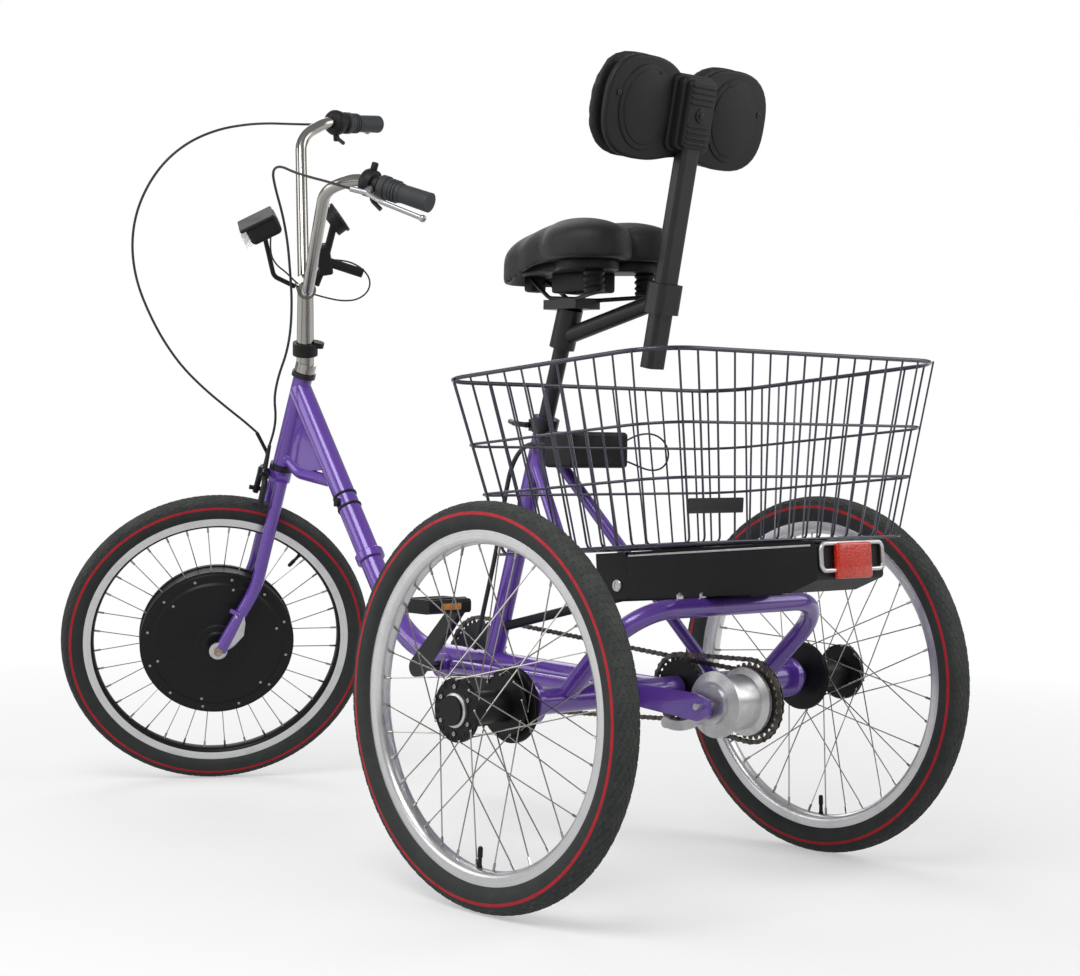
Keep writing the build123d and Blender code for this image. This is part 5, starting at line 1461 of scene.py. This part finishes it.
# ---------------------------------------------------------------- stage
LAMPS = [  # name, place, size in metres and power in watts
    ("key", (2.6, 1.4, 3.6), 2.2, 92),
    ("left_fill", (3.4, -2.2, 2.2), 2.6, 46),
    ("back_fill", (-2.8, 2.6, 2.6), 2.6, 52),
    ("far_fill", (-1.6, -3.4, 2.8), 2.6, 40),
]


def stage():
    """The white floor and air, and four soft lamps."""
    look = bpy.context.scene.tricycle_stage
    clear()
    bpy.ops.mesh.primitive_circle_add(vertices=96, radius=30, fill_type="NGON", location=(0, 0, -0.0002))
    floor = bpy.context.object
    f = Finish("studio_floor")
    lit = f.node("LightPath", {}, {}, "Is Camera Ray")
    f.set(base_color=f.mix(lit, tuple(0.52 * c for c in look.floor), tuple(look.floor)))
    f.set(roughness=0.75, specular_ior_level=0.2)
    away = f.node("VectorMath", {"operation": "LENGTH"}, {0: f.spot}, "Value")
    seen = f.node("LightPath", {}, {}, "Is Camera Ray") + f.node("LightPath", {}, {}, "Is Glossy Ray")
    bright = f.tree.nodes.new("ShaderNodeEmission")
    bright.inputs["Color"].default_value = (1, 1, 1, 1)
    blend = f.tree.nodes.new("ShaderNodeMixShader")
    fading = f.ramp(away * 0.2, (0.26, 0.42), (0.62, 1))
    share = (fading * seen.held()).held()
    f.tree.links.new(share.socket, blend.inputs[0])
    f.tree.links.new(f.shader.outputs[0], blend.inputs[1])
    f.tree.links.new(bright.outputs[0], blend.inputs[2])
    f.tree.links.new(blend.outputs[0], f.tree.nodes["Material Output"].inputs["Surface"])
    floor.data.materials.append(f.material)
    floor.name = floor.data.name = "studio_floor"

    world = bpy.data.worlds.new("studio_air")
    bpy.context.scene.world = world
    world.use_nodes = True
    tree = world.node_tree
    air = tree.nodes["Background"]
    air.inputs["Color"].default_value = (1, 1, 1, 1)
    air.inputs["Strength"].default_value = 0.33
    white = tree.nodes.new("ShaderNodeBackground")
    white.inputs["Color"].default_value = (1, 1, 1, 1)
    path = tree.nodes.new("ShaderNodeLightPath")
    both = tree.nodes.new("ShaderNodeMath")
    both.operation = "MAXIMUM"
    choice = tree.nodes.new("ShaderNodeMixShader")
    tree.links.new(path.outputs["Is Camera Ray"], both.inputs[0])
    tree.links.new(path.outputs["Is Transmission Ray"], both.inputs[1])
    tree.links.new(both.outputs[0], choice.inputs[0])
    tree.links.new(air.outputs[0], choice.inputs[1])
    tree.links.new(white.outputs[0], choice.inputs[2])
    tree.links.new(choice.outputs[0], tree.nodes["World Output"].inputs["Surface"])

    for name, spot, size, power in LAMPS:
        bpy.ops.object.light_add(type="AREA", location=spot)
        lamp = bpy.context.object
        lamp.name = name + "_lamp"
        lamp.data.size, lamp.data.energy = size, power
        lamp.rotation_euler = (Vector((0, 0, 0.45)) - Vector(spot)).to_track_quat("-Z", "Y").to_euler()
    bpy.context.scene.view_settings.view_transform = "Standard"


def camera():
    """The camera behind and to the left of the rider."""
    look = bpy.context.scene.tricycle_stage
    yaw, pitch, roll = math.radians(42.56), math.radians(-1.358), math.radians(0.781)
    ahead = Vector((-math.sin(yaw) * math.cos(pitch), -math.cos(yaw) * math.cos(pitch), math.sin(pitch)))
    right = ahead.cross(Vector((0, 0, 1))).normalized()
    up = right.cross(ahead)
    right, up = right * math.cos(roll) + up * math.sin(roll), up * math.cos(roll) - right * math.sin(roll)
    bpy.ops.object.camera_add()
    eye = bpy.context.object
    eye.name = "studio_camera"
    stand = Matrix((right, up, -ahead)).transposed().to_4x4()
    eye.matrix_world = Matrix.Translation(place(2424.2, 2337.1, 701.0)) @ stand
    eye.data.sensor_width, eye.data.lens = 36, look.lens
    eye.data.clip_end = 100
    bpy.context.scene.camera = eye


# ---------------------------------------------------------------- operators
def operator(name, label, text, work):
    """An operator that makes one piece or group of pieces."""

    def execute(self, context):
        work()
        return {"FINISHED"}

    return type("TRICYCLE_OT_" + name, (bpy.types.Operator,), {
        "bl_idname": "tricycle." + name,
        "bl_label": label,
        "bl_options": {"REGISTER", "UNDO"},
        "__doc__": text,
        "execute": execute,
    })


def make_finishes():
    """Puts a finish on each packed piece."""
    for node, material in painted_frame().items():
        thing = frame["nodes"].get(node)
        if thing:
            thing.data.materials.clear()
            thing.data.materials.append(material)


def make_tyres():
    look = bpy.context.scene.tricycle_wheels
    for name in WHEELS:
        tyre(name, look.tread_rows, look.tread_depth, stripe_rubber())


def make_rims():
    for name, degrees in (("left", -93), ("right", -88), ("front", 38)):
        rim(name)
        nipples(name)
        valve(name, degrees)


def make_hubs():
    rear_hub_trim("left")
    rear_hub_trim("right")
    motor()


def make_chains():
    """The chain from the cranks to the gear hub and the one from there to the axle."""
    hub, axle, bracket = (150, 298), (0, 304), (-520, 298)
    chain("pedal_chain_links", -60, bracket, 80.0, hub, 39.0)
    thing = chain("axle_chain_links", -32, axle, 54.0, hub, 64.0)
    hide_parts("chains")


OPERATORS = [
    operator("stage", "Stage", "Floor, air, lamps and camera", lambda: (camera(), stage())),
    operator("cables", "Cables", "Brake cables, wires and the seat tube's loom", cables),
    operator("finishes", "Finishes", "A finish for each piece of the packed model", make_finishes),
    operator("tyres", "Tyres", "Three tyres with tread and side lines", make_tyres),
    operator("rims", "Rims", "Rims, spoke nipples and valves", make_rims),
    operator("hubs", "Hubs and motor", "Hub caps, bolts, drum fins and the motor's shell", make_hubs),
    operator("chains", "Chains", "The pedal chain and the axle chain, link by link", make_chains),
    operator("basket", "Basket", "The wire basket and its plate", basket),
    operator("saddle", "Saddle", "The saddle's cushion, filled by simulation", saddle),
    operator("backrest", "Backrest", "The backrest's cushion and moulded back", backrest),
    operator("fittings", "Fittings", "Gusset, collars, lock, shifters, torque arm and reflectors", fittings),
]
GROUPS = [
    (WheelSettings, "tricycle_wheels"), (BodySettings, "tricycle_body"), (SeatSettings, "tricycle_seat"),
    (BasketSettings, "tricycle_basket"), (StageSettings, "tricycle_stage"),
]


class TRICYCLE_PT_panel(bpy.types.Panel):
    """Sizes, colours and the pieces that can be made"""

    bl_label = "Tricycle"
    bl_idname = "TRICYCLE_PT_panel"
    bl_space_type = "VIEW_3D"
    bl_region_type = "UI"
    bl_category = "Tricycle"

    def draw(self, context):
        for group, key in GROUPS:
            box = self.layout.box()
            for prop in group.__annotations__:
                box.prop(getattr(context.scene, key), prop)
        for each in OPERATORS:
            self.layout.operator(each.bl_idname)


def register():
    for group, key in GROUPS:
        bpy.utils.register_class(group)
        setattr(bpy.types.Scene, key, PointerProperty(type=group))
    for each in (*OPERATORS, TRICYCLE_PT_panel):
        bpy.utils.register_class(each)


def unregister():
    for each in (TRICYCLE_PT_panel, *reversed(OPERATORS)):
        bpy.utils.unregister_class(each)
    for group, key in reversed(GROUPS):
        delattr(bpy.types.Scene, key)
        bpy.utils.unregister_class(group)


def main():
    register()
    for each in OPERATORS:
        clear()
        group, name = each.bl_idname.split(".")
        getattr(getattr(bpy.ops, group), name)()
    clear()


if __name__ == "__main__":
    main()
